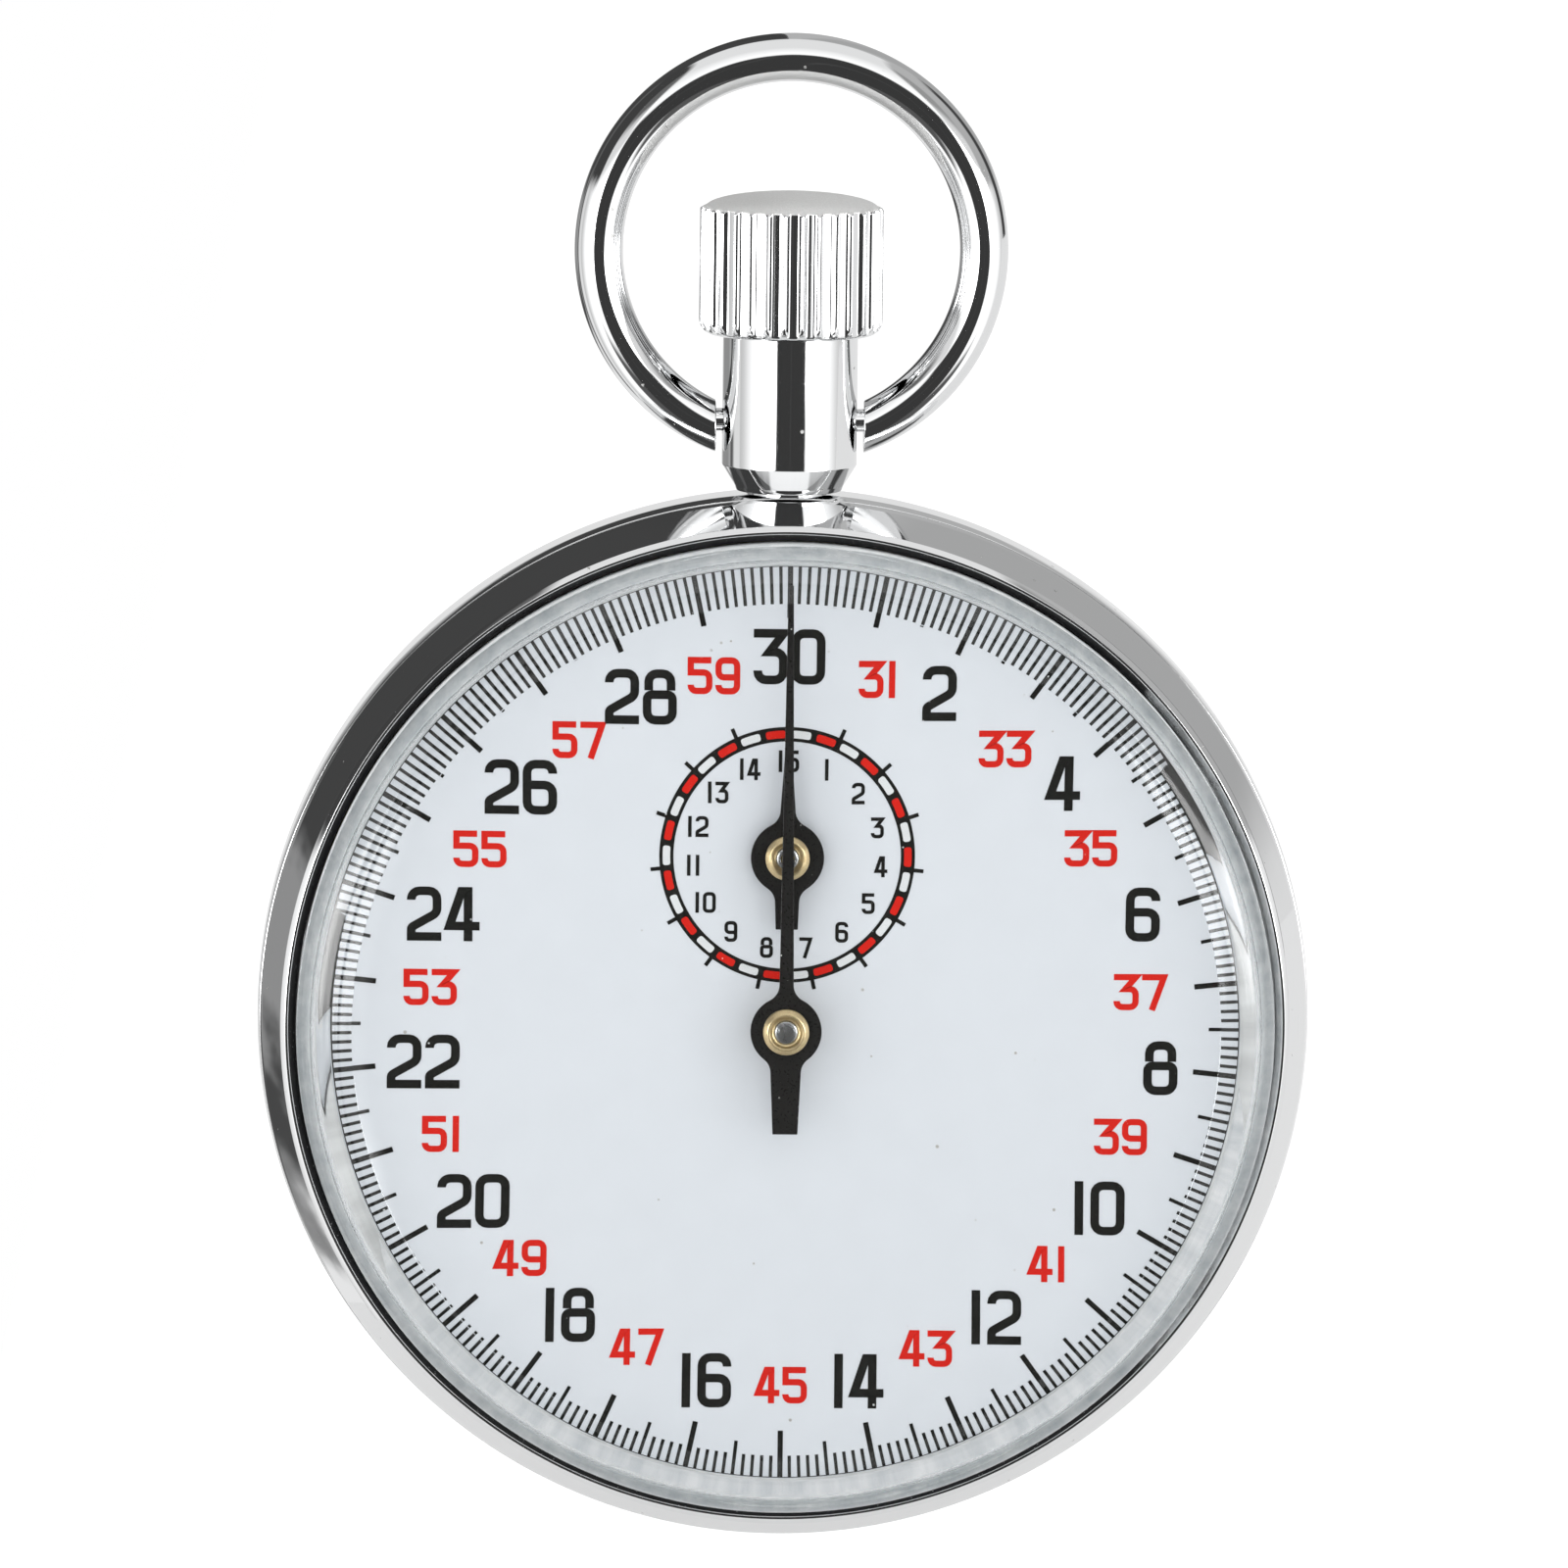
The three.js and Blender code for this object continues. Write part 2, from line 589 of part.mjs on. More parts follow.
function addBridges() {
  const barrelOutline = [
    ...arc(BRIDGE.radius, degrees(68), degrees(172), 16),
    [-16, 3.6],
    [-9.5, 7],
    [-4.6, 8.4],
    [3.4, 9.6],
    [7.2, 10.4],
  ];
  const barrelBridge = plate(barrelOutline, BRIDGE.back, BRIDGE.front, [
    circle(0.95, BARREL),
    circle(3.45, CROWN_WHEEL, 20),
  ]);
  const clickStud = rod(0.4, 2.25, BRIDGE.back + 0.1, CLICK);
  const barrelFeet = [...BRIDGE_FEET.barrel, BARREL_PIN_FOOT].map((at) => foot(at, 1.8));
  const barrelHoles = BRIDGE_FEET.barrel.map(screwHole);
  add("barrel_bridge", cut(join(barrelBridge, clickStud, ...barrelFeet), ...barrelHoles), nickel());

  const [leftFoot, rightFoot] = BRIDGE_FEET.train;
  const arm = [[...leftFoot, 2.1], [...SECOND, 2], [...SWEEP, 2.2], [...ESCAPE, 1.7]];
  const brace = [[...SWEEP, 2.2], [...rightFoot, 1.9]];
  const trainBridge = join(
    strap(arm, BRIDGE.back, BRIDGE.front),
    strap(brace, BRIDGE.back, BRIDGE.front),
    foot(leftFoot, 2.1),
    foot(rightFoot, 1.9),
  );
  const pivots = [SECOND, SWEEP, ESCAPE].map((at) => rod(0.33, BRIDGE.back - 1, BRIDGE.front + 1, at, 8));
  add("train_bridge", cut(trainBridge, ...pivots, ...BRIDGE_FEET.train.map(screwHole)), nickel());

  const [cockFoot] = BRIDGE_FEET.cock;
  const studSpot = [3.25, 3.15].map((reach, i) => BALANCE[i] - reach * [0.713, 0.701][i]);
  const cock = join(
    strap([[...cockFoot, 2.2], [...BALANCE, 1.6]], BRIDGE.back, 4),
    foot(cockFoot, 2.2, 4),
    rod(0.3, 3.9, 4.45, studSpot, 8),
  );
  const cockPivot = rod(0.33, BRIDGE.back - 1, 5, BALANCE, 8);
  add("balance_cock", cut(cock, cockPivot, screwHole(cockFoot)), nickel());

  const [nearFoot] = BRIDGE_FEET.pallet;
  const { back, front, farFoot } = PALLET_BRIDGE;
  const palletBridge = join(
    strap([[...nearFoot, 1.1], [...PALLET, 0.8], [...farFoot, 0.9]], back, front),
    foot(nearFoot, 1.1, front),
    foot(farFoot, 0.9, front),
  );
  add("pallet_bridge", cut(palletBridge, rod(0.3, 5, 6, PALLET, 8), screwHole(nearFoot)), nickel());

  const screws = [...BRIDGE_FEET.barrel, ...BRIDGE_FEET.train, ...BRIDGE_FEET.cock];
  screws.forEach((at, i) =>
    add(`bridge_screw_${i + 1}`, screwSolid(SCREW.head, SCREW.shank, 2.55, 3.15, SCREW.end), blued(), at),
  );
  add("pallet_bridge_screw", screwSolid(0.75, SCREW.shank, 4.85, 5.4, SCREW.end), blued(), nearFoot);
}

// ---- Winding works ----

// Face teeth on the crown wheel's inner side, which the winding pinion turns.
function contrateTeeth(count, inner, outer, root, tip) {
  const pitch = (2 * Math.PI) / count;
  const middle = (inner + outer) / 2;
  const tooth = new THREE.Shape([
    new THREE.Vector2(-0.28 * pitch * middle, 0),
    new THREE.Vector2(0.28 * pitch * middle, 0),
    new THREE.Vector2(0.07 * pitch * middle, tip - root + 0.1),
    new THREE.Vector2(-0.07 * pitch * middle, tip - root + 0.1),
  ]);
  return Array.from({ length: count }, (_, i) =>
    new THREE.ExtrudeGeometry(tooth, { depth: outer - inner, bevelEnabled: false })
      .translate(0, 0, inner)
      .rotateZ(Math.PI)
      .translate(0, -(root - 0.1), 0)
      .rotateY(i * pitch),
  );
}

function addWinding() {
  const { back, front } = WINDING;
  const contrate = { inner: 2.1, outer: 2.8, root: 4.07, tip: 4.43 };
  const spur = plate(wheelOutline(GEARS.crownWheel), back, front, [circle(0.55 + PIVOT_PLAY)]);
  const collar = plate(circle(contrate.outer, [0, 0], 16), front - 0.1, contrate.root, [
    circle(contrate.inner, [0, 0], 16),
  ]);
  const { inner, outer, root, tip } = contrate;
  const teeth = contrateTeeth(GEARS.crownWheel.teeth, inner, outer, root, tip);
  const crownTurn = 0;
  add("crown_wheel", join(spur, collar, ...teeth), steel(), CROWN_WHEEL, crownTurn);
  add("crown_wheel_screw", screwSolid(1.5, 0.55, 1.6, back - 0.05, 7.6), blued(), CROWN_WHEEL);

  const ratchetTurn = meshed(crownTurn, GEARS.crownWheel, CROWN_WHEEL, GEARS.ratchet, BARREL);
  const ratchet = plate(wheelOutline(GEARS.ratchet), back, front, [circle(0.9)]);
  add("ratchet_wheel", ratchet, steel(), BARREL, ratchetTurn);
  add("ratchet_screw", screwSolid(1.6, 0.38, 1.5, back - 0.05, 3.8), blued(), BARREL);
  const arbor = turned(
    [
      [0, 3.9],
      [0.45, 3.9],
      [0.45, back + 0.05],
      [0.83, back + 0.05],
      [0.83, 5],
      [1.6, 5],
      [1.6, 6],
      [0.6, 6],
      [0.6, 7.4],
      [0, 7.4],
    ],
    SMALL,
  );
  add("barrel_arbor", arbor, steel(), BARREL);

  const click = cut(strap([[...CLICK, 0.95], [-15.4, 13, 0.32]], back, front), rod(0.48, 2, 3, CLICK));
  add("click", click, steel());
  const clickSpring = strap([[-19.4, 11, 0.8], [-18.4, 12.7, 0.16], [-17.1, 13.4, 0.14]], back, front);
  add("click_spring", clickSpring, spring());
}

// ---- The going train, from the barrel to the balance ----

function addBarrel(turn) {
  const wall = turned(
    closed([
      [0.6 + PIVOT_PLAY, BOX.floor],
      [BOX.inner, BOX.floor],
      [BOX.inner, BOX.edge],
      [BOX.radius, BOX.edge],
      [BOX.radius, BOX.front],
      [0.6 + PIVOT_PLAY, BOX.front],
    ]),
    24,
  );
  const rimHole = circle((BOX.inner + BOX.radius) / 2, [0, 0], 24);
  const rim = plate(wheelOutline(GEARS.barrel), BOX.rimBack, BOX.front, [rimHole]);
  add("barrel", join(wall, rim), brass(), BARREL, turn);
  const lid = plate(circle(BOX.radius, [0, 0], 24), LID.back, LID.front, [circle(0.95)]);
  add("barrel_lid", lid, brass(), BARREL, turn);
  add("mainspring", spiral(1.9, 6.3, 5, 0.22, 5.05, 5.95, 10), spring(), BARREL, turn);
}

const arborProfile = (pivot, body, ends, shoulders) => [
  [0, ends[0]],
  [pivot, ends[0]],
  [pivot, shoulders[0]],
  [body, shoulders[0]],
  [body, shoulders[1]],
  [pivot, shoulders[1]],
  [pivot, ends[1]],
  [0, ends[1]],
];

// Returns the turn of each of the sweep's neighbours, worked out from the sweep arbor at no turn.
function addTrain() {
  const g = GEARS;
  const secondTurn = meshed(0, g.sweepPinion, SWEEP, g.second, SECOND);
  const second = join(
    plate(wheelOutline(g.second), 4.35, 4.55, windows(4, 1.4, 4.6, 0.3)),
    plate(pinionOutline(g.secondPinion), 5.75, 6.3),
    turned(arborProfile(0.22, 0.45, [3.4, 7.3], [4.3, 6.3]), SMALL),
  );
  add("second_wheel", second, brass(), SECOND, secondTurn);
  addBarrel(meshed(secondTurn, g.secondPinion, SECOND, g.barrel, BARREL));

  const arbor = join(
    turned(
      [
        [0, 3.4],
        [0.22, 3.4],
        [0.22, 4.3],
        [0.5, 4.3],
        [0.5, 9.5],
        [0.4, 9.5],
        [0.4, 12.3],
        [0, 12.3],
      ],
      SMALL,
    ),
    plate(pinionOutline(g.sweepPinion), 4.32, 4.72),
    plate(pinionOutline(g.drivePinion), 9.05, 9.35),
  );
  add("sweep_arbor", arbor, steel(), SWEEP);
  const sweepHoles = [circle(0.55), ...windows(4, 1.5, 4.9, 0.3)];
  add("sweep_wheel", plate(wheelOutline(g.sweep), 5.2, 5.4, sweepHoles), brass(), SWEEP);

  const escapeTurn = meshed(0, g.sweep, SWEEP, g.escapePinion, ESCAPE);
  const escapeTeeth = 15;
  const pitch = (2 * Math.PI) / escapeTeeth;
  const outline = Array.from({ length: escapeTeeth }, (_, i) => [
    polar(2.6, i * pitch),
    polar(2.55, (i + 0.12) * pitch),
    polar(2, (i + 0.45) * pitch),
  ]).flat();
  const escape = join(
    plate(outline, 6, 6.2, windows(4, 0.75, 1.65, 0.16, 2)),
    plate(pinionOutline(g.escapePinion), 5.05, 5.55),
    turned(arborProfile(0.2, 0.32, [3.4, 7.3], [4.4, 6.3]), SMALL),
  );
  add("escape_wheel", escape, steel(), ESCAPE, escapeTurn);
}

// The fork points from its pivot to the balance, and its two arms lean towards the escape wheel.
function addEscapement() {
  const towards = Math.atan2(ESCAPE[1] - PALLET[1], ESCAPE[0] - PALLET[0]);
  const arm = (side) => [
    [0, 0, 0.34],
    [0.35, side * 1.5, 0.22],
    [1.02, side * 1.42, 0.13],
  ];
  const fork = join(
    strap(arm(1), 6, 6.25),
    strap(arm(-1), 6, 6.25),
    strap([[0, 0, 0.34], [-2.45, 0, 0.2]], 6, 6.25),
    strap([[-2.4, 0, 0.15], [-2.8, 0.35, 0.1]], 6, 6.25),
    strap([[-2.4, 0, 0.15], [-2.8, -0.35, 0.1]], 6, 6.25),
    turned(arborProfile(0.18, 0.26, [5.5, 7.3], [5.8, 6.4]), SMALL),
  );
  add("pallet_fork", fork, steel(), PALLET, towards);

  const rimHoles = [circle(0.52), ...windows(2, 1, 4.7, 0.35, 8)];
  const rim = plate(circle(5.4, [0, 0], 40), 4.6, 5.2, rimHoles);
  add("balance_wheel", rim, brass(), BALANCE, degrees(28));
  const staff = turned(
    [
      [0, 3.3],
      [0.18, 3.3],
      [0.18, 4.05],
      [0.7, 4.05],
      [0.7, 4.5],
      [0.45, 4.5],
      [0.45, 5.35],
      [1.05, 5.35],
      [1.05, 5.65],
      [0.35, 5.65],
      [0.35, 6.45],
      [0.18, 6.45],
      [0.18, 7.3],
      [0, 7.3],
    ],
    SMALL,
  );
  const toFork = Math.atan2(PALLET[1] - BALANCE[1], PALLET[0] - BALANCE[0]);
  const impulsePin = rod(0.12, 5.6, 6.2, polar(0.75, toFork), 6);
  add("balance_staff", join(staff, impulsePin), steel(), BALANCE);
  add("hairspring", spiral(0.95, 2.75, 5, 0.09, 4.12, 4.42, 10), blued(), BALANCE, degrees(225));
}

// ---- Start, stop and reset works ----

function addLevers() {
  const lever = join(
    strap([[1.45, 22.35, 0.35], [...LEVER, 1], [...LEVER_PIN.at, 0.6]], 5, 5.8),
    rod(LEVER_PIN.radius, 5.7, 8.45, LEVER_PIN.at),
  );
  add("operating_lever", cut(lever, rod(0.53, 4.5, 6.2, LEVER)), steel());
  add("operating_spring", strap([[15.3, 15, 1], [13.4, 17.6, 0.2], [11.1, 14.4, 0.16]], 5, 5.6), spring());

  const brake = join(
    strap([[11.8, -10.8, 0.35], [...BRAKE, 1.15], [...BRAKE_PIN.at, 0.55]], 4.6, 5.2),
    rod(BRAKE_PIN.radius, 5.1, 9, BRAKE_PIN.at),
  );
  add("brake_lever", cut(brake, rod(0.53, 4, 6, BRAKE)), steel());

  const bar = strap([[...HAMMER, 1.2], [5.3, 8.95, 0.65], [5.2, 0, 0.6]], WORKS.back, WORKS.front);
  const tab = ([, z]) => strap([[5.2, z, 0.55], [3.7, z, 0.5]], WORKS.back, WORKS.front);
  const tabs = [tab(MINUTE), tab(SWEEP)];
  const nose = strap([[5.2, 6.6, 0.5], [8.2, 6.7, 0.4]], WORKS.back, WORKS.front);
  add("reset_hammer", cut(join(bar, ...tabs, nose), rod(0.53, 8, 9, HAMMER)), steel());
  const leaf = [[13.2, 15.2, 1], [10, 12.4, 0.2], [7.05, 11.4, 0.16]];
  const hammerSpring = strap(leaf, WORKS.back, WORKS.front);
  add("hammer_spring", hammerSpring, spring());

  const ratchetTeeth = 12;
  const pitch = (2 * Math.PI) / ratchetTeeth;
  const saw = Array.from({ length: ratchetTeeth }, (_, i) => [
    polar(2.2, i * pitch),
    polar(1.8, (i + 0.25) * pitch),
  ]).flat();
  const columns = windows(6, 1.2, 1.9, 0.3, 2).map((sector) => plate(sector, WORKS.front - 0.1, 9.2));
  const base = plate(saw, WORKS.back, WORKS.front, [circle(0.5 + PIVOT_PLAY)]);
  add("column_wheel", join(base, ...columns), steel(), COLUMN);
  const jumper = strap([[18.6, 8.5, 1.1], [16, 10.2, 0.2], [14.25, 8.1, 0.2]], WORKS.back, WORKS.front);
  add("column_jumper", jumper, spring());
}

// A heart-shaped cam: wherever it stopped, a push from the hammer turns its low point to zero.
function heartCam() {
  const { low, high, bore } = HEART;
  const outline = Array.from({ length: 20 }, (_, i) => {
    const around = (2 * Math.PI * i) / 20;
    const share = Math.abs(around - Math.PI) / Math.PI;
    return polar(high - (high - low) * share, around);
  });
  return plate(outline, WORKS.back, WORKS.front, [circle(bore)]);
}

function addTotaliser() {
  const g = GEARS;
  const idlerTurn = meshed(0, g.drivePinion, SWEEP, g.idler, IDLER);
  const bore = 0.25 + PIVOT_PLAY;
  const idler = join(
    plate(wheelOutline(g.idler), 9.1, 9.3, [circle(bore), ...windows(4, 1.2, 3.3, 0.25)]),
    plate(pinionOutline(g.idlerPinion), 8.6, 9.15, [circle(bore)]),
  );
  add("minute_idler", idler, brass(), IDLER, idlerTurn);

  const minuteTurn = meshed(idlerTurn, g.idlerPinion, IDLER, g.minute, MINUTE);
  const wheel = join(
    plate(wheelOutline(g.minute), 8.68, 8.88, windows(4, 1.1, 4, 0.25)),
    rod(0.5, 8.05, 9.5),
    rod(0.36, 9.4, 11.1),
  );
  add("minute_wheel", wheel, brass(), MINUTE, minuteTurn);
  add("sweep_heart_cam", heartCam(), steel(), SWEEP);
  add("minute_heart_cam", heartCam(), steel(), MINUTE);
}

// ---- Dial and hands ----

// A hand with a round hub, a tapered blade that points up and a short tail.
function hand({ hub, bore, tip, tail, back, front }) {
  const blade = strap([[0, 0, tip.root / 2], [0, tip.reach - tip.end / 2, tip.end / 2]], back, front);
  const tailPiece = plate(
    [
      [-tail.root / 2, 0],
      [-tail.end / 2, -tail.reach],
      [tail.end / 2, -tail.reach],
      [tail.root / 2, 0],
    ],
    back,
    front,
  );
  const body = join(rod(hub, back, front, [0, 0], 24), blade, tailPiece);
  return cut(body, rod(bore, back - 1, front + 1));
}

function collet({ outer, bore, back, front }) {
  return plate(circle(outer, [0, 0], 16), back, front, [circle(bore)]);
}

function addFace() {
  const disc = plate(circle(DIAL.radius, [0, 0], ROUND), DIAL.back, DIAL.front, [
    circle(0.75, SWEEP),
    circle(0.75, MINUTE),
  ]);
  const feet = DIAL_FEET.map((at) => rod(0.5, 7.3, DIAL.back + 0.1, at, 8));
  add("dial", join(disc, ...feet), finish(0xdce4e7, 0.55, 0));

  const sweepHand = hand({
    hub: 1.85,
    bore: 1.25,
    tip: { root: 0.75, end: 0.28, reach: 23.4 },
    tail: { root: 1.58, end: 1.3, reach: 5.4 },
    back: 11.65,
    front: 11.85,
  });
  add("sweep_hand", sweepHand, black(), SWEEP);
  const sweepCollet = collet({ outer: 1.2, bore: 0.45, back: 11, front: 12.25 });
  add("sweep_hand_collet", sweepCollet, brass(), SWEEP);

  const minuteHand = hand({
    hub: 1.9,
    bore: 1.2,
    tip: { root: 0.75, end: 0.35, reach: 5.75 },
    tail: { root: 1.25, end: 1.15, reach: 3.75 },
    back: 10.6,
    front: 10.8,
  });
  add("minute_hand", minuteHand, black(), MINUTE);
  const minuteCollet = collet({ outer: 1.15, bore: 0.41, back: 10.3, front: 11.2 });
  add("minute_hand_collet", minuteCollet, brass(), MINUTE);
}

addCase();
addNeck();
addBow();
addCrown();
addPlate();
addBridges();
addWinding();
addTrain();
addEscapement();
addLevers();
addTotaliser();
addFace();

export default watch;
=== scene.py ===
import json
import math

import bmesh
import bpy
from mathutils import Matrix, Vector


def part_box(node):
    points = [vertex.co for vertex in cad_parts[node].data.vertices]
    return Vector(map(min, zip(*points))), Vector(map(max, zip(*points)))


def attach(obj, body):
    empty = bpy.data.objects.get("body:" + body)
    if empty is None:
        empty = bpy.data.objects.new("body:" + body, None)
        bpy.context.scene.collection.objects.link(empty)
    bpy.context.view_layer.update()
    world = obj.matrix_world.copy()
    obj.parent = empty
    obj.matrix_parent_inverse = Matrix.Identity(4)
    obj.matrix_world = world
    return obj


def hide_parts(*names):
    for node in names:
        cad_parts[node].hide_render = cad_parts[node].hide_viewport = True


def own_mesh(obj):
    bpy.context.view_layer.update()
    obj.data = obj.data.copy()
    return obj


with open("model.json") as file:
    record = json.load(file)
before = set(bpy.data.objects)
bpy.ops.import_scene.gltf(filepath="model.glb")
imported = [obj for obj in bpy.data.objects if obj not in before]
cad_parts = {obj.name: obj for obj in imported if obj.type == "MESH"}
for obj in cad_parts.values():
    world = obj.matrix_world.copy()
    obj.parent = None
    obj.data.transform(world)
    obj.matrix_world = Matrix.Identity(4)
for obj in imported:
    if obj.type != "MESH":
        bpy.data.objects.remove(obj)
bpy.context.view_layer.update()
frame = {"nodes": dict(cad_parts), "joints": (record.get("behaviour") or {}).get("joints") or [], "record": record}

# The frame is in metres and this script is in millimetres. A "depth" is a distance in front of
# the case back's outer face, so depth d lies at y = -d. Outlines are drawn in x and z, as the
# dial side sees them. "Clock" angles start at 12 and turn clockwise.
MM = 0.001
ROUND = 288  # sides of the case's round pieces
FINE = 96  # sides of small round pieces
SHARP = math.radians(32)  # edges that turn by more than this look sharp


def span(node):
    """A CAD node's lowest and highest corners in mm."""
    low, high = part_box(node)
    return [c / MM for c in low], [c / MM for c in high]


def depths(node):
    """How deep a CAD node's back and front lie."""
    low, high = span(node)
    return -high[1], -low[1]


def middle(node):
    """A CAD node's centre in x and z."""
    low, high = span(node)
    return (low[0] + high[0]) / 2, (low[2] + high[2]) / 2


CASE_R = span("case_middle")[1][0]
BAND_BACK, BAND_FRONT = depths("case_middle")
BEZEL_BACK, BEZEL_FRONT = depths("bezel")
BEZEL_R = span("bezel")[1][0]
BACK_R = span("case_back")[1][0]
BACK_DEPTH = depths("case_back")[1]
CRYSTAL_BACK, CRYSTAL_FRONT = depths("crystal")
CRYSTAL_R = span("crystal")[1][0]
DIAL_FRONT = depths("dial")[1]
DIAL_R = span("dial")[1][0]
NECK_LOW, NECK_HIGH = span("pendant_neck")
STEM_DEPTH = -(NECK_LOW[1] + NECK_HIGH[1]) / 2
NECK_R = NECK_HIGH[0]
CROWN_LOW, CROWN_HIGH = span("crown")
CROWN_R = CROWN_HIGH[0]
BOW_LOW, BOW_HIGH = span("bow")
WIRE_R = (BOW_HIGH[1] - BOW_LOW[1]) / 2
BOW_R = BOW_HIGH[0] - WIRE_R
BOW_Z = BOW_HIGH[2] - WIRE_R - BOW_R
PIVOT_Z = next(j for j in frame["joints"] if j["name"] == "bow_swing")["pos_m"][2] / MM
MINUTE_Z = middle("minute_hand_collet")[1]


# ---- Meshes ----

def add_object(name, bm, materials=()):
    """Makes an object of the bmesh, which is in mm."""
    bm.transform(Matrix.Scale(MM, 4))
    mesh = bpy.data.meshes.new(name)
    bm.to_mesh(mesh)
    bm.free()
    for material in materials:
        mesh.materials.append(material)
    made = bpy.data.objects.new(name, mesh)
    bpy.context.scene.collection.objects.link(made)
    return made


def place(name, bm, materials, body, replaced=()):
    """Makes a piece of the bmesh and rides it on its body."""
    bmesh.ops.remove_doubles(bm, verts=bm.verts, dist=1e-5)
    bmesh.ops.recalc_face_normals(bm, faces=bm.faces)
    for face in bm.faces:
        face.smooth = True
    for edge in bm.edges:
        edge.smooth = len(edge.link_faces) == 2 and edge.calc_face_angle() < SHARP
    piece = add_object(name, bm, materials)
    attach(piece, body)
    if replaced:
        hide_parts(*replaced)
    return piece


def give_second(bm, chosen, centre_z=0):
    """The second material goes to the faces for which chosen(radius, depth) is true. The radius is
    from a depthwise axis at that height."""
    for face in bm.faces:
        at = face.calc_center_median()
        if chosen(math.hypot(at.x, at.z - centre_z), -at.y):
            face.material_index = 1


def rounded(points, closed=False, steps=5):
    """An outline whose corners (a, b, radius) become arcs. Corners (a, b) stay sharp."""
    out = []
    for i, point in enumerate(points):
        corner = Vector(point[:2])
        radius = point[2] if len(point) > 2 else 0
        if not radius or (not closed and i in (0, len(points) - 1)):
            out.append(corner)
            continue
        before = (Vector(points[i - 1][:2]) - corner).normalized()
        after = (Vector(points[(i + 1) % len(points)][:2]) - corner).normalized()
        half = before.angle(after) / 2
        centre = corner + (before + after).normalized() * radius / math.sin(half)
        reach = radius / math.tan(half)
        start = corner + before * reach - centre
        end = corner + after * reach - centre
        first = math.atan2(start.y, start.x)
        turn = (math.atan2(end.y, end.x) - first + math.pi) % math.tau - math.pi
        for k in range(steps + 1):
            angle = first + turn * k / steps
            out.append(centre + radius * Vector((math.cos(angle), math.sin(angle))))
    return out


DEPTHWISE = Matrix.Rotation(math.pi / 2, 4, "X")  # a height becomes a depth, towards -Y
STEMWISE = Matrix.Translation((0, -STEM_DEPTH, 0))


def lathe(profile, sides=ROUND, closed=False, way=DEPTHWISE, radius_at=None):
    """A bmesh of a profile of (radius, height) spun round. radius_at(radius, angle) may change
    each vertex's radius."""
    bm = bmesh.new()
    rings = []
    for radius, height in profile:
        if radius < 1e-6:
            rings.append([bm.verts.new((0, 0, height))])
            continue
        ring = []
        for k in range(sides):
            angle = math.tau * k / sides
            r = radius_at(radius, angle) if radius_at else radius
            ring.append(bm.verts.new((r * math.cos(angle), r * math.sin(angle), height)))
        rings.append(ring)
    pairs = list(zip(rings, rings[1:]))
    if closed:
        pairs.append((rings[-1], rings[0]))
    for low, high in pairs:
        for k in range(sides):
            n = (k + 1) % sides
            corners = [low[k % len(low)], low[n % len(low)], high[n % len(high)], high[k % len(high)]]
            bm.faces.new(list(dict.fromkeys(corners)))
    bm.transform(way)
    return bm


def skin(bm, rings):
    """Joins rings of vertices, each of the same number, into a tube with closed ends."""
    for low, high in zip(rings, rings[1:]):
        for k in range(len(low)):
            n = (k + 1) % len(low)
            bm.faces.new((low[k], low[n], high[n], high[k]))
    bm.faces.new(rings[0])
    bm.faces.new(rings[-1][::-1])


def slab(bm, outline, back, front):
    """Adds a closed flat solid between two depths to bm."""
    far = [bm.verts.new((x, -back, z)) for x, z in outline]
    near = [bm.verts.new((x, -front, z)) for x, z in outline]
    bm.faces.new(far)
    bm.faces.new(near[::-1])
    for k in range(len(outline)):
        n = (k + 1) % len(outline)
        bm.faces.new((far[n], far[k], near[k], near[n]))


def ribbon(bm, points, width, back, front, closed=False):
    """Adds a line of that width along the points, with mitred corners, as a closed solid."""
    count = len(points)
    sides = []
    for i, point in enumerate(points):
        before = points[i - 1] if closed or i else None
        after = points[(i + 1) % count] if closed or i < count - 1 else None
        one = (point - before).normalized() if before is not None else (after - point).normalized()
        two = (after - point).normalized() if after is not None else one
        normal = Vector((-one.y - two.y, one.x + two.x)).normalized()
        reach = width / 2 / max(0.3, normal.dot(Vector((-one.y, one.x))))
        left, right = point + normal * reach, point - normal * reach
        sides.append([bm.verts.new((p.x, -d, p.y)) for p in (left, right) for d in (back, front)])
    for i in range(count if closed else count - 1):
        (a_lb, a_lf, a_rb, a_rf), (b_lb, b_lf, b_rb, b_rf) = sides[i], sides[(i + 1) % count]
        bm.faces.new((a_lf, a_rf, b_rf, b_lf))
        bm.faces.new((a_lb, b_lb, b_rb, a_rb))
        bm.faces.new((a_lb, a_lf, b_lf, b_lb))
        bm.faces.new((a_rb, b_rb, b_rf, a_rf))
    if not closed:
        for lb, lf, rb, rf in (sides[0], sides[-1]):
            bm.faces.new((lb, lf, rf, rb))


def clock(radius, turn):
    """A point at that radius and clock angle, in degrees."""
    angle = math.radians(turn)
    return Vector((radius * math.sin(angle), radius * math.cos(angle)))


def arc(radius, start, end, steps):
    """Points along an arc between two clock angles."""
    return [clock(radius, start + (end - start) * i / steps) for i in range(steps + 1)]


def bevel(piece, width):
    """Rounds a piece's sharp edges."""
    modifier = piece.modifiers.new("bevel", "BEVEL")
    modifier.width = width * MM
    modifier.segments = 2
    modifier.limit_method = "ANGLE"
    modifier.angle_limit = SHARP
    modifier.harden_normals = True


# ---- Materials ----

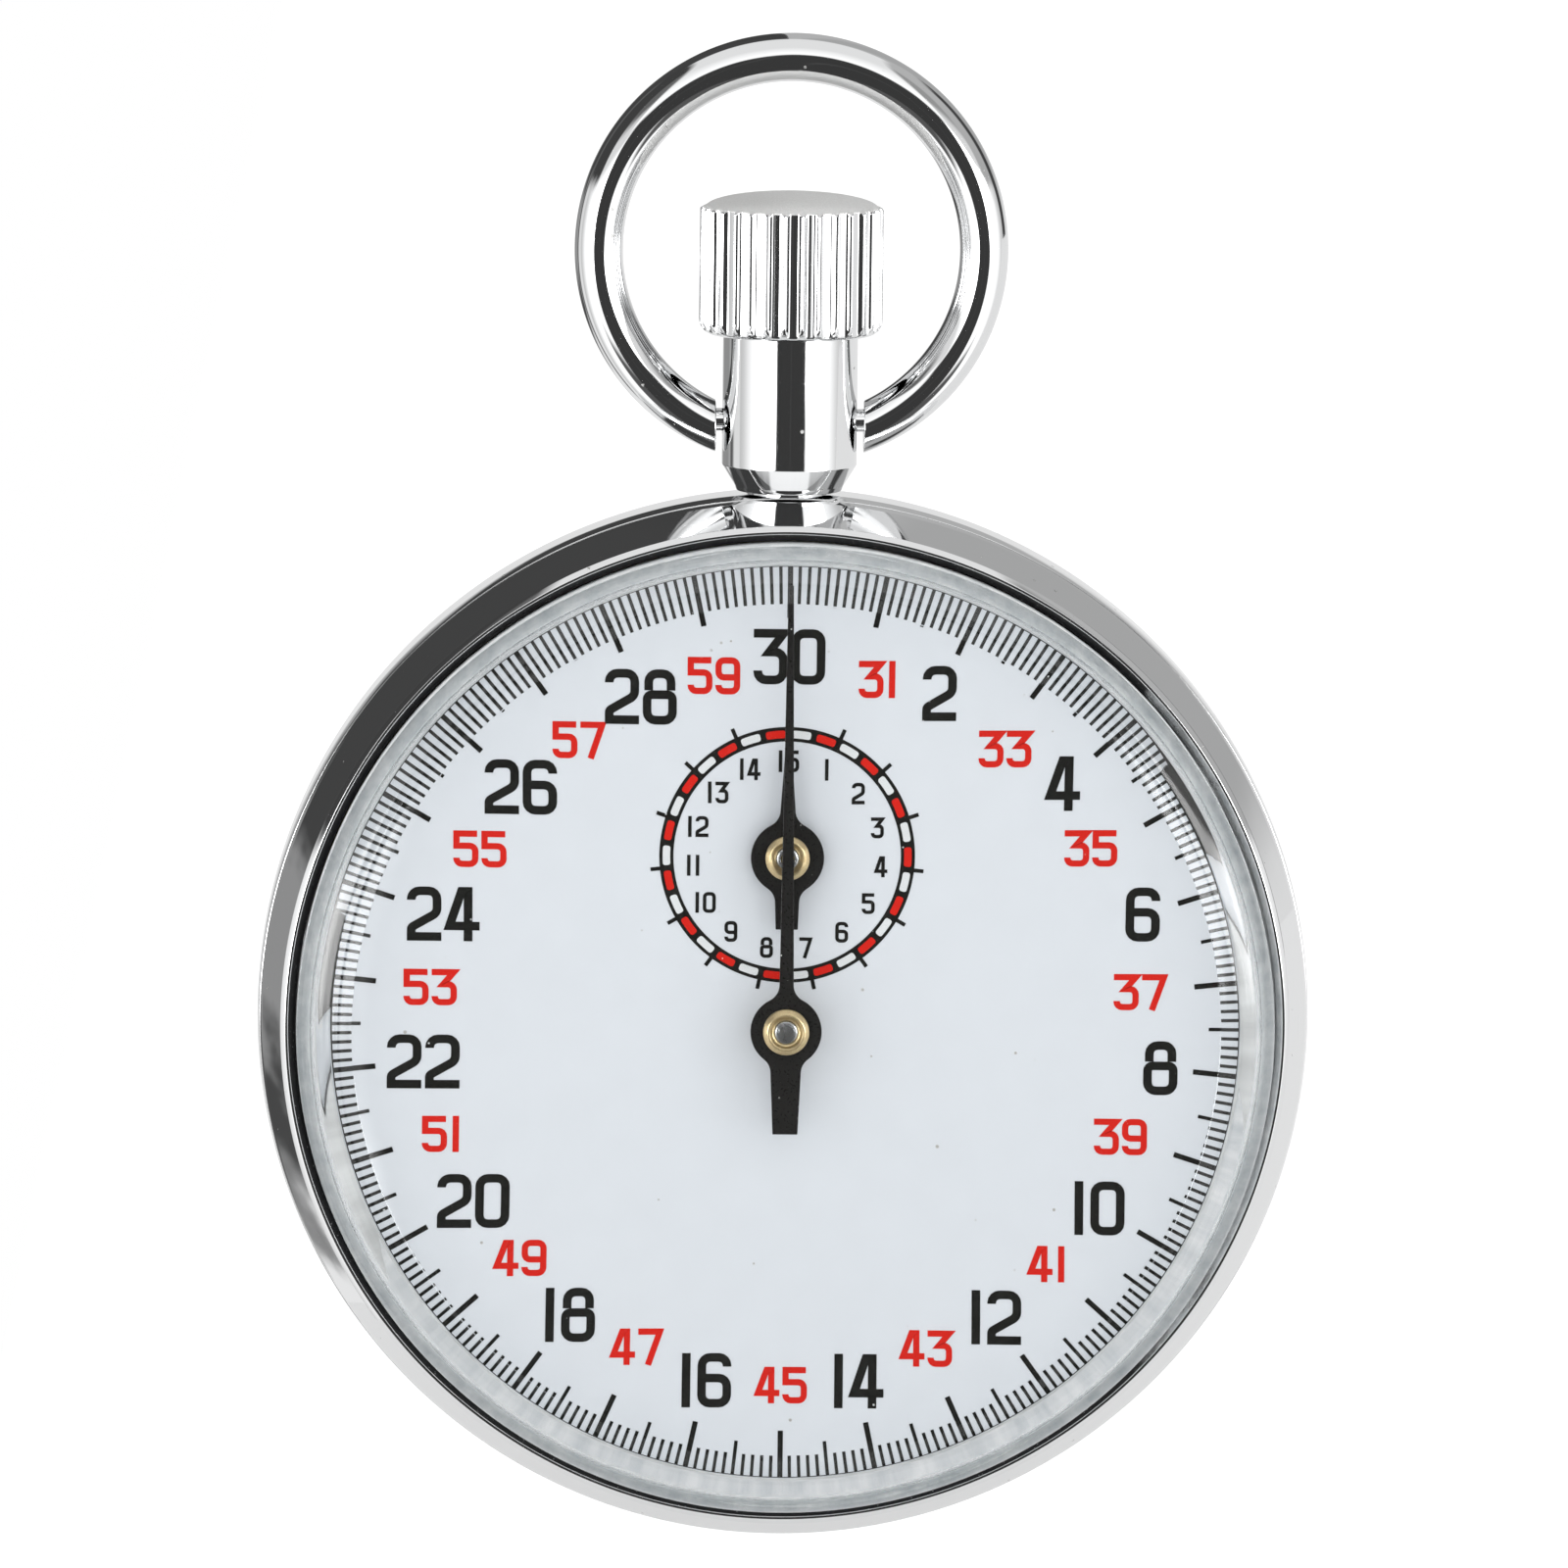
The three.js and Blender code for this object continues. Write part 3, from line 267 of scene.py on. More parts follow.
class Shader:
    """A material's node tree, with its pattern coordinates in mm."""

    def __init__(self, name, world=None):
        """An empty tree, of a new material or of the world given."""
        self.owner = world or bpy.data.materials.new(name)
        self.owner.use_nodes = True
        self.tree = self.owner.node_tree
        self.tree.nodes.clear()
        kind = "ShaderNodeOutputWorld" if world else "ShaderNodeOutputMaterial"
        self.output = self.tree.nodes.new(kind)

    def node(self, kind, settings=None, **inputs):
        """A node with its settings, and its inputs set to a value or linked to a socket."""
        made = self.tree.nodes.new("ShaderNode" + kind)
        for key, value in (settings or {}).items():
            setattr(made, key, value)
        for key, value in inputs.items():
            self.feed(made.inputs[key.replace("_", " ")], value)
        return made

    def feed(self, socket, value):
        """Links a socket to the input, or sets the input to a value."""
        if isinstance(value, bpy.types.NodeSocket):
            self.tree.links.new(value, socket)
        else:
            socket.default_value = value

    def math(self, operation, a, b=0.0):
        """The result of a math node."""
        made = self.tree.nodes.new("ShaderNodeMath")
        made.operation = operation
        self.feed(made.inputs[0], a)
        self.feed(made.inputs[1], b)
        return made.outputs[0]

    def ramp(self, value, low, high, start=0.0, end=1.0, smooth=False):
        """value mapped from low..high to start..end, and held there."""
        made = self.tree.nodes.new("ShaderNodeMapRange")
        made.interpolation_type = "SMOOTHSTEP" if smooth else "LINEAR"
        for socket, number in zip(made.inputs[:5], (value, low, high, start, end)):
            self.feed(socket, number)
        return made.outputs[0]

    def colours(self, value, low, high):
        """The colour between low and high at value."""
        made = self.node("Mix", {"data_type": "RGBA"})
        self.feed(made.inputs[0], value)
        self.feed(made.inputs[6], (*low, 1) if isinstance(low, tuple) else low)
        self.feed(made.inputs[7], (*high, 1) if isinstance(high, tuple) else high)
        return made.outputs[2]

    def here(self, stretch=(1, 1, 1), centre=(0, 0, 0), turn=(0, 0, 0)):
        """Object coordinates in mm, stretched along each axis."""
        at = self.node("TexCoord").outputs["Object"]
        scale = tuple(s / MM for s in stretch)
        shift = tuple(-c * s for c, s in zip(centre, stretch))
        return self.node("Mapping", Vector=at, Scale=scale, Location=shift, Rotation=turn).outputs[0]

    def noise(self, size, detail=3.0, roughness=0.55, **where):
        """Cloudy noise whose features are about size mm."""
        made = self.node("TexNoise", Vector=self.here(**where), Scale=1 / size, Detail=detail,
                         Roughness=roughness)
        return made.outputs[0]

    def specks(self, size, share, **where):
        """1 on small round specks and 0 between them."""
        made = self.node("TexVoronoi", Vector=self.here(**where), Scale=1 / size)
        far = made.outputs["Distance"]
        pick = self.node("SeparateColor", Color=made.outputs["Color"]).outputs[0]
        return self.math("LESS_THAN", far, self.ramp(pick, 0, share, 0.2, 0))

    def radius(self, x, z):
        return self.math("SQRT", self.math("ADD", self.math("MULTIPLY", x, x), self.math("MULTIPLY", z, z)))

    def bump(self, height, strength, distance=0.01):
        made = self.node("Bump", Height=height, Strength=strength, Distance=distance * MM)
        return made.outputs[0]

    def surface(self, **inputs):
        """Ends the material in one Principled shader."""
        shader = self.node("BsdfPrincipled", **inputs)
        self.tree.links.new(shader.outputs[0], self.output.inputs[0])
        return self.owner


def metal(name, colour, roughness, grain=0.05, stretch=(1, 1, 1), wear=0.25, depth=0.12, blasted=0.0):
    """A metal with fine grain, faint scratches one way and a slow change of polish. A blasted one
    scatters that share of its light."""
    s = Shader(name)
    slow = s.noise(4.0)
    fine = s.noise(grain, 4.0, 0.7, stretch=stretch)
    scratches = s.ramp(s.noise(0.5, 6.0, 0.8, stretch=(0.15, 3, 2), turn=(0.3, 0.7, 0.2)), 0.62, 0.7)
    polish = s.math("ADD", s.ramp(slow, 0.3, 0.7, -0.2 * roughness, 0.25 * roughness), roughness)
    rough = s.math("ADD", polish, s.math("MULTIPLY", scratches, wear * roughness))
    dark = tuple(c * 0.86 for c in colour)
    tint = s.colours(s.ramp(fine, 0.35, 0.65, 0, 1), dark, colour)
    relief = s.math("ADD", fine, s.math("MULTIPLY", scratches, -0.3))
    return s.surface(Base_Color=tint, Metallic=1 - blasted, Roughness=rough, Normal=s.bump(relief, depth))


def chrome(name, roughness=0.045, dust=0.05):
    """Bright plate: mirror-smooth, with hairline scratches, faint waves and a little dust."""
    s = Shader(name)
    slow = s.noise(5.0, 2.0)
    one_way = s.noise(0.7, 5.0, 0.75, stretch=(0.12, 2.5, 2.5), turn=(0.4, 0.9, 0.1))
    other_way = s.noise(0.7, 5.0, 0.75, stretch=(2.5, 2.5, 0.12), turn=(0.2, 0.5, 0.8))
    hair = s.math("MAXIMUM", s.ramp(one_way, 0.66, 0.7), s.ramp(other_way, 0.66, 0.7))
    specks = s.specks(0.55, dust)
    rough = s.math("ADD", s.ramp(slow, 0.3, 0.7, roughness * 0.7, roughness * 1.4),
                   s.math("ADD", s.math("MULTIPLY", hair, 0.12), s.math("MULTIPLY", specks, 0.5)))
    tint = s.colours(s.math("MAXIMUM", specks, s.math("MULTIPLY", hair, 0.3)),
                     (0.86, 0.865, 0.87), (0.62, 0.62, 0.61))
    relief = s.math("ADD", s.math("MULTIPLY", slow, 0.4), s.math("MULTIPLY", hair, -0.5))
    return s.surface(Base_Color=tint, Metallic=1.0, Roughness=rough, Normal=s.bump(relief, 0.04))


def crystal():
    """Clear acrylic. Shadow and diffuse rays pass straight through, so the dial under it is lit."""
    s = Shader("crystal_clear")
    slow = s.noise(3.0)
    hair = s.ramp(s.noise(0.8, 5.0, 0.75, stretch=(0.15, 1, 2.5), turn=(0.3, 0.6, 0.2)), 0.7, 0.74)
    rough = s.math("ADD", s.ramp(slow, 0.3, 0.7, 0.0, 0.012), s.math("MULTIPLY", hair, 0.03))
    glass = s.node("BsdfPrincipled", Base_Color=(0.985, 0.99, 0.99, 1), Roughness=rough, IOR=1.49,
                   Transmission_Weight=1.0, Normal=s.bump(hair, 0.02))
    through = s.node("BsdfTransparent", Color=(0.99, 0.99, 0.99, 1))
    path = s.node("LightPath").outputs
    straight = s.math("MAXIMUM", path["Is Shadow Ray"], path["Is Diffuse Ray"])
    mixed = s.node("MixShader", Fac=straight)
    s.tree.links.new(glass.outputs[0], mixed.inputs[1])
    s.tree.links.new(through.outputs[0], mixed.inputs[2])
    s.tree.links.new(mixed.outputs[0], s.output.inputs[0])
    return s.owner


def frosted_edge(name):
    """The crystal's ground foot: pale, cloudy round the rim, with a fine row of dashes."""
    s = Shader(name)
    x, _, z = s.node("SeparateXYZ", Vector=s.here()).outputs
    dashes_at, half_width, beats = CRYSTAL_R - 0.32, 0.045, 330.0
    turn = s.math("ARCTAN2", x, z)
    cloud = s.ramp(s.noise(1.1, 5.0, 0.65), 0.3, 0.7)
    pale = s.colours(cloud, (0.62, 0.66, 0.68), (0.94, 0.95, 0.95))
    beat = s.math("SINE", s.math("MULTIPLY", turn, beats))
    away = s.math("ABSOLUTE", s.math("SUBTRACT", s.radius(x, z), dashes_at))
    near = s.math("LESS_THAN", away, half_width)
    dashes = s.math("MULTIPLY", near, s.ramp(beat, -0.2, 0.2))
    tint = s.colours(dashes, pale, (0.25, 0.27, 0.28))
    grit = s.noise(0.1, 3.0)
    rough = s.ramp(grit, 0.3, 0.7, 0.45, 0.65)
    return s.surface(Base_Color=tint, Roughness=rough, Normal=s.bump(grit, 0.2))


def paint(name, colour, roughness, speck_colour, speck_share, speck_size=0.5, mottle=0.05, gloss=0.4):
    """Paint or ink with a faint mottle, worn flecks and a very fine orange peel."""
    s = Shader(name)
    cloud = s.ramp(s.noise(1.6, 4.0, 0.6), 0.35, 0.65)
    shade = tuple(c * (1 - mottle) for c in colour)
    flecks = s.math("MULTIPLY", s.specks(speck_size, speck_share), s.ramp(s.noise(2.5), 0.45, 0.55))
    tint = s.colours(flecks, s.colours(cloud, shade, colour), speck_colour)
    fine = s.noise(0.12, 3.0)
    rough = s.math("ADD", s.ramp(fine, 0.3, 0.7, roughness - 0.05, roughness + 0.06),
                   s.math("MULTIPLY", flecks, 0.2))
    return s.surface(Base_Color=tint, Roughness=rough, Specular_IOR_Level=gloss, Normal=s.bump(fine, 0.08))


def worn_bevel(name):
    """A black bevel with dust in it. Towards the right-hand side it turns to bright chrome, a painted reflection
    standing in for the light seen there.
    """
    s = Shader(name)
    x = s.node("SeparateXYZ", Vector=s.here()).outputs[0]
    wander = s.ramp(s.noise(2.5, 4.0), 0.3, 0.7, -3, 3)
    # Painted reflection: towards the right the bevel becomes bright chrome, in place of the reflection that lights
    # it there.
    painted_reflection_right = s.ramp(s.math("ADD", x, wander), 19.0, 23.0, smooth=True)
    dust = s.math("MULTIPLY", s.specks(0.16, 0.75), s.ramp(s.noise(1.2), 0.4, 0.6))
    black_with_dust = s.colours(dust, (0.012, 0.012, 0.013), (0.7, 0.71, 0.71))
    tint = s.colours(painted_reflection_right, black_with_dust, (0.88, 0.885, 0.89))
    rough = s.ramp(painted_reflection_right, 0, 1, 0.3, 0.12)
    return s.surface(Base_Color=tint, Metallic=painted_reflection_right, Roughness=rough, Normal=s.bump(dust, 0.2))


def turned_brass(name, centre):
    """Brass with the ring marks of a lathe about an axis at centre, in x and z."""
    s = Shader(name)
    x, _, z = s.node("SeparateXYZ", Vector=s.here(centre=(centre[0], 0, centre[1]))).outputs
    rings = s.math("SINE", s.math("MULTIPLY", s.radius(x, z), 95.0))
    fine = s.noise(0.06, 4.0)
    tint = s.colours(s.ramp(fine, 0.35, 0.65), (0.8, 0.6, 0.3), (0.95, 0.8, 0.5))
    rough = s.ramp(fine, 0.3, 0.7, 0.3, 0.45)
    relief = s.math("ADD", s.math("MULTIPLY", rings, 0.5), fine)
    return s.surface(Base_Color=tint, Metallic=1.0, Roughness=rough, Normal=s.bump(relief, 0.25))


CHROME = chrome("chrome_plate")
CROWN_SATIN = metal("crown_satin", (0.86, 0.86, 0.85), 0.5, grain=0.09, depth=0.2, blasted=0.45)
STEEL = metal("movement_steel", (0.66, 0.67, 0.68), 0.26, stretch=(0.3, 1, 1))
NICKEL = metal("plate_nickel", (0.76, 0.74, 0.67), 0.34, grain=0.08)
BRASS = metal("brass_wheels", (0.8, 0.6, 0.27), 0.28)
BLUED = metal("screw_blue", (0.1, 0.15, 0.34), 0.22)
SPRING = metal("spring_steel", (0.42, 0.43, 0.45), 0.3, stretch=(1, 0.3, 1))
RING_PALE = paint("ring_pale", (0.85, 0.87, 0.87), 0.35, (0.4, 0.41, 0.4), 0.25,
                  speck_size=0.35, mottle=0.25)
BEVEL = worn_bevel("bevel_black")
DIAL_WHITE = paint("dial_white", (0.765, 0.805, 0.85), 0.42, (0.45, 0.45, 0.43), 0.05, mottle=0.02)
INK_BLACK = paint("ink_black", (0.012, 0.012, 0.01), 0.5, (0.6, 0.62, 0.62), 0.08,
                  speck_size=0.3, gloss=0.15)
INK_RED = paint("ink_red", (0.72, 0.014, 0.006), 0.5, (0.85, 0.45, 0.4), 0.08,
                speck_size=0.3, gloss=0.15)
INK_WHITE = paint("ink_white", (0.8, 0.83, 0.84), 0.42, (0.5, 0.5, 0.48), 0.05)
HAND_BLACK = paint("hand_black", (0.014, 0.013, 0.012), 0.3, (0.75, 0.75, 0.72), 0.2, speck_size=0.32)
CRYSTAL = crystal()
CRYSTAL_EDGE = frosted_edge("crystal_edge")

SLOT_MATERIALS = {
    "chrome_case": CHROME,
    "crown_steel": CROWN_SATIN,
    "crystal_clear": CRYSTAL,
    "dial_white": DIAL_WHITE,
    "hand_black": HAND_BLACK,
    "plate_nickel": NICKEL,
    "brass_wheels": BRASS,
    "movement_steel": STEEL,
    "screw_blue": BLUED,
    "spring_steel": SPRING,
}
# The CAD nodes that no piece replaces are shown as they are, in these materials.
for entry in frame["record"]["subparts"]:
    node = frame["nodes"][entry["node"]]
    for held in node.material_slots:
        held.material = SLOT_MATERIALS[entry["material_slot"]]


# ---- Case ----

def build_case():
    """The closed case, with the crystal and the ring under it."""
    build_band()
    build_bezel()
    build_back()
    build_crystal()
    build_tension_ring()


def build_band():
    """A ring with a step at its front for the bezel."""
    bore = BACK_R - 1.6
    snap = CASE_R - 1.2  # the radius of the step that the bezel snaps on
    band = rounded([
        (bore, BAND_BACK),
        (CASE_R - 0.3, BAND_BACK, 0.12),
        (CASE_R, BAND_BACK + 1.2, 3.0),
        (CASE_R, BEZEL_BACK - 1.2, 3.0),
        (CASE_R - 0.12, BEZEL_BACK - 0.05, 0.05),
        (snap, BEZEL_BACK - 0.05),
        (snap, BAND_FRONT),
        (bore, BAND_FRONT),
    ], closed=True)
    place("case_band", lathe(band, closed=True), [CHROME], "case", ["case_middle"])


def build_bezel():
    """A chromed ring whose inner slope, down to the crystal, is black, with a painted reflection that turns it
    bright at the right.
    """
    crest = BEZEL_FRONT
    flank_in = BEZEL_R - 1.1
    mouth = CRYSTAL_R + 0.05
    ring = rounded([
        (mouth + 0.9, BEZEL_BACK),
        (BEZEL_R, BEZEL_BACK, 0.06),
        (BEZEL_R - 0.13, BEZEL_BACK + 0.45, 0.3),
        (flank_in, crest - 0.2, 0.12),
        (flank_in - 0.25, crest, 0.08),
        (flank_in - 0.4, crest, 0.06),
        (mouth, crest - 0.75, 0.1),
        (mouth, BEZEL_BACK + 1.3),
        (mouth + 0.9, BEZEL_BACK + 1.3),
    ], closed=True)
    bm = lathe(ring, closed=True)
    give_second(bm, lambda radius, depth: mouth - 0.02 < radius < flank_in - 0.41 and depth > crest - 0.8)
    place("bezel_ring", bm, [CHROME, BEVEL], "case", ["bezel"])


def build_back():
    """A dished cover with a lip that snaps inside the band."""
    flat = BACK_R - 3.5
    lip = BACK_R - 1.7
    rim = BAND_BACK - 0.1
    cover = rounded([
        (0, 0),
        (flat, 0, 2.5),
        (flat + 2.2, 0.55, 3.5),
        (BACK_R - 0.25, 1.8, 1.8),
        (BACK_R, rim, 0.1),
        (lip, rim),
        (lip, BACK_DEPTH),
        (lip - 0.7, BACK_DEPTH),
        (lip - 0.7, 2.2),
        (lip - 2.5, 0.9),
        (0, 0.9),
    ])
    place("back_cover", lathe(cover), [CHROME], "case", ["case_back"])


def build_crystal():
    """A domed shell with a fine crease inside, on a wall whose foot is ground."""
    inner = CRYSTAL_R - 1
    front = CRYSTAL_FRONT
    crease = 22.5
    glass = rounded([
        (0, front - 1),
        (11, front - 1.12, 60),
        (crease - 0.06, front - 1.85),
        (crease, front - 1.83),
        (crease + 0.06, front - 1.855),
        (crease + 0.9, front - 1.98, 1.0),
        (inner, front - 2.58, 0.6),
        (inner, CRYSTAL_BACK),
        (CRYSTAL_R, CRYSTAL_BACK),
        (CRYSTAL_R, front - 1.9, 1.6),
        (inner - 0.5, front - 0.95, 2.0),
        (11, front - 0.12, 60),
        (0, front),
    ], steps=8)
    bm = lathe(glass)
    give_second(bm, lambda radius, depth: radius > inner - 0.01 and depth < front - 2.55)
    place("crystal_dome", bm, [CRYSTAL, CRYSTAL_EDGE], "case", ["crystal"])


def build_tension_ring():
    """The pale ring round the dial, sloped down to the dial's edge."""
    low, high = depths("tension_ring")
    wide = span("tension_ring")[1][0]
    ring = rounded([
        (DIAL_R + 0.01, low),
        (wide, low),
        (wide, high, 0.1),
        (DIAL_R + 0.65, high, 0.15),
        (DIAL_R + 0.3, high - 0.3, 0.1),
        (DIAL_R + 0.01, DIAL_FRONT - 0.03),
    ], closed=True)
    place("crystal_ring", lathe(ring, closed=True), [RING_PALE], "case", ["tension_ring"])


# ---- Neck, bow and crown ----

PIN_SIDES = 48


def build_neck():
    """A tube on a spigot, with a chamber for the crown spring and a hole across it for the bow."""
    bottom, top = NECK_LOW[2], NECK_HIGH[2]
    stem_hole, spigot, chamber, chamber_floor = 0.9, 2.2, 2.4, bottom + 4.5
    profile = rounded([
        (stem_hole, bottom),
        (spigot, bottom),
        (spigot, bottom + 2.0),
        (2.75, bottom + 2.05, 0.08),
        (2.85, bottom + 2.3, 0.1),
        (NECK_R, bottom + 3.4, 0.12),
        (NECK_R, top, 0.25),
        (chamber, top),
        (chamber, chamber_floor),
        (stem_hole, chamber_floor),
    ], closed=True)
    neck = place("neck_tube", lathe(profile, FINE * 2, closed=True, way=STEMWISE), [CHROME],
                 "case", ["pendant_neck"])
    radius, reach = 0.74, 6
    hole = lathe([(0, -reach), (radius, -reach), (radius, reach), (0, reach)], PIN_SIDES,
                 way=Matrix.Rotation(math.pi / 2, 4, "Y"))
    hole.transform(Matrix.Translation((0, -STEM_DEPTH, PIVOT_Z)))
    bmesh.ops.recalc_face_normals(hole, faces=hole.faces)
    cutter = add_object("pivot_hole", hole)
    drill = neck.modifiers.new("holes", "BOOLEAN")
    drill.operation = "DIFFERENCE"
    drill.object = cutter
    bpy.context.view_layer.update()
    drilled = bpy.data.meshes.new_from_object(neck.evaluated_get(bpy.context.evaluated_depsgraph_get()))
    neck.modifiers.clear()
    neck.data = drilled
    bpy.data.objects.remove(cutter)


def build_bow():
    """Round wire bent into a ring, cut square at the neck, with a pin at each end."""
    around, along = 40, 260
    end_x = 3.85  # how far out each cut end lies
    bm = bmesh.new()
    rings = []
    for i in range(along + 1):
        ring = []
        for k in range(around):
            turn = math.tau * k / around
            reach = BOW_R + WIRE_R * math.cos(turn)
            first = math.asin(end_x / reach)
            angle = first + (math.tau - 2 * first) * i / along
            ring.append(bm.verts.new((
                reach * math.sin(angle),
                -STEM_DEPTH + WIRE_R * math.sin(turn),
                BOW_Z - reach * math.cos(angle),
            )))
        rings.append(ring)
    skin(bm, rings)
    bow = place("bow_ring", bm, [CHROME], "bow", ["bow"])
    bevel(bow, 0.07)
    radius, inner, outer = 0.6, 2.6, end_x + 0.15
    for side, name in ((-1, "left"), (1, "right")):
        profile = rounded([(0, inner), (radius, inner, 0.12), (radius, outer), (0, outer)])
        pin = lathe(profile, PIN_SIDES, way=Matrix.Rotation(side * math.pi / 2, 4, "Y"))
        pin.transform(Matrix.Translation((0, -STEM_DEPTH, PIVOT_Z)))
        place("bow_pin_" + name, pin, [CHROME], "bow")


def build_crown():
    """Flat flutes between sharp ridges, a chamfered foot and a satin dome."""
    ridges, samples = 32, 14
    half_ridge = 0.27  # as a share of the distance between ridges
    valley = CROWN_R - 0.34
    foot, bore = 4.1, 3.75
    bottom, top = CROWN_LOW[2], CROWN_HIGH[2]
    dome = top - 0.82

    def fluted(radius, angle):
        """The profile's radius, cut down to the valley between two ridges."""
        if radius < bore + 0.05:
            return radius
        share = angle * ridges / math.tau % 1
        climb = max(0.0, 1 - abs(share - 0.5) / half_ridge)
        if climb < 0.5:
            part = climb * climb * (3 - 2 * climb)
        else:
            part = 0.5 + (climb - 0.5) * (1.5 - climb)
        return min(radius, valley + (CROWN_R - valley) * part)

    rise = 1.15  # the height of the chamfer at the foot
    low, high = bottom + rise, dome - 0.2
    chamfer = [(foot + (CROWN_R - foot) * math.sin(t), bottom + rise * (1 - math.cos(t))) for t in
               (math.radians(7.5 * i) for i in range(13))]
    side = [(CROWN_R, low + (high - low) * i / 6) for i in range(1, 7)]
    shoulder = [(CROWN_R - 0.08 * i * i / 4, high + 0.07 * i) for i in range(1, 5)]
    cap = [(4.5 * math.cos(t), dome + (top - dome) * math.sin(t)) for t in
           (math.radians(8 + 82 * i / 14) for i in range(15))]
    cap[-1] = (0, top)
    bore_top = 39.5
    inside = [(0, bore_top), (bore, bore_top), (bore, bottom + 0.1), (bore + 0.1, bottom)]
    profile = inside + chamfer + side + shoulder + cap
    bm = lathe(profile, ridges * samples, way=STEMWISE, radius_at=fluted)
    bm.normal_update()
    for face in bm.faces:
        if face.calc_center_median().z > dome - 0.02:
            face.material_index = 1
    place("crown_cap", bm, [CHROME, CROWN_SATIN], "crown", ["crown"])


def build_crown_spring():
    """The crown's return spring, drawn at one length; the real spring shortens as the crown is pressed."""
    wire, turns = 0.22, 7
    steps, sides = 24, 8  # of one turn and round the wire
    low, high = span("crown_spring")
    reach = high[0] - wire
    bottom, top = low[2] + wire, high[2] - wire
    bm = bmesh.new()
    rings = []
    for i in range(turns * steps + 1):
        turn = math.tau * i / steps
        height = bottom + (top - bottom) * i / (turns * steps)
        out = Vector((math.cos(turn), math.sin(turn), 0))
        centre = reach * out + Vector((0, -STEM_DEPTH, height))
        rings.append([
            bm.verts.new(centre + wire * (math.cos(a) * out + math.sin(a) * Vector((0, 0, 1))))
            for a in (math.tau * k / sides for k in range(sides))
        ])
    skin(bm, rings)
    coil = place("crown_spring_coil", bm, [SPRING], "case", ["crown_spring"])
    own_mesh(coil)


# ---- Dial ----

INK_BACK, INK_FRONT = DIAL_FRONT - 0.01, DIAL_FRONT + 0.018
FIELD_FRONT = INK_FRONT + 0.012  # the red and white fields lie over the black ring


def glyph_strokes(digit, wide, high, stroke):
    """The centre lines of one digit, as (points, closed), for that outer width and height."""
    w, h = wide - stroke, high - stroke
    left, right, top, bottom = -w / 2, w / 2, h / 2, -h / 2
    bend = 0.15 * high
    over = stroke / 2
    waist = 0.05 * h
    hook = 0.2 * h
    stem, bar = 0.22 * w, bottom + 0.24 * h
    upper = right - 0.06 * w
    six = [(right, top - hook), (right, top, bend), (left, top, bend), (left, bottom, bend),
           (right, bottom, bend), (right, waist, bend), (left + over, waist)]
    lines = {
        "0": [([(left, top, bend), (right, top, bend), (right, bottom, bend), (left, bottom, bend)], True)],
        "1": [([(0, top + over), (0, bottom - over)], False)],
        "2": [([(left, top - hook), (left, top, bend), (right, top, bend), (right, 0.02 * h, bend),
                (left, bottom + hook, 0.5 * bend), (left, bottom), (right + over, bottom)], False)],
        "3": [([(left - over, top), (right, top), (-0.05 * w, 0.1 * h), (right, 0.1 * h, bend),
                (right, bottom, bend), (left, bottom, bend), (left, bottom + hook)], False)],
        "4": [([(stem, bottom - over), (stem, top), (-0.04 * w, top), (left, bar),
                (stem - over, bar)], False),
              ([(stem + over, bar), (right + over, bar)], False)],
        "5": [([(right + over * 0.6, top), (left, top), (left, 0.1 * h), (right, 0.1 * h, bend),
                (right, bottom, bend), (left, bottom, bend), (left, bottom + hook)], False)],
        "6": [(six, False)],
        "7": [([(left - over, top), (right, top), (-0.12 * w, bottom - over)], False)],
        "8": [([(-upper, waist + over), (-upper, top, bend), (upper, top, bend),
                (upper, waist + over)], False),
              ([(left, waist, 0.6 * bend), (right, waist, 0.6 * bend), (right, bottom, bend),
                (left, bottom, bend)], True)],
        "9": [([(-p[0], -p[1], *p[2:]) for p in six], False)],
    }
    return [(rounded(points, closed, 4), closed) for points, closed in lines[digit]]


def number(bm, text, reach, turn, size, centre=Vector((0, 0)), lean=0.0):
    """Adds an upright number at a clock angle. A 1 takes only its stroke and air.

    lean draws in a number by that share of its half size towards the dial's rim, so that wide
    numbers at the sides keep clear of the scale."""
    wide, high, stroke, gap = size
    widths = [stroke * 1.8 if digit == "1" else wide for digit in text]
    total = sum(widths) + gap * (len(text) - 1)
    out = clock(1, turn)
    at = clock(reach - lean * (abs(out.x) * total + abs(out.y) * high) / 2, turn) + centre
    x = at.x - total / 2
    for digit, width in zip(text, widths):
        shift = Vector((x + width / 2, at.y))
        for points, closed in glyph_strokes(digit, wide, high, stroke):
            ribbon(bm, [p + shift for p in points], stroke, INK_BACK, INK_FRONT, closed)
        x += width + gap


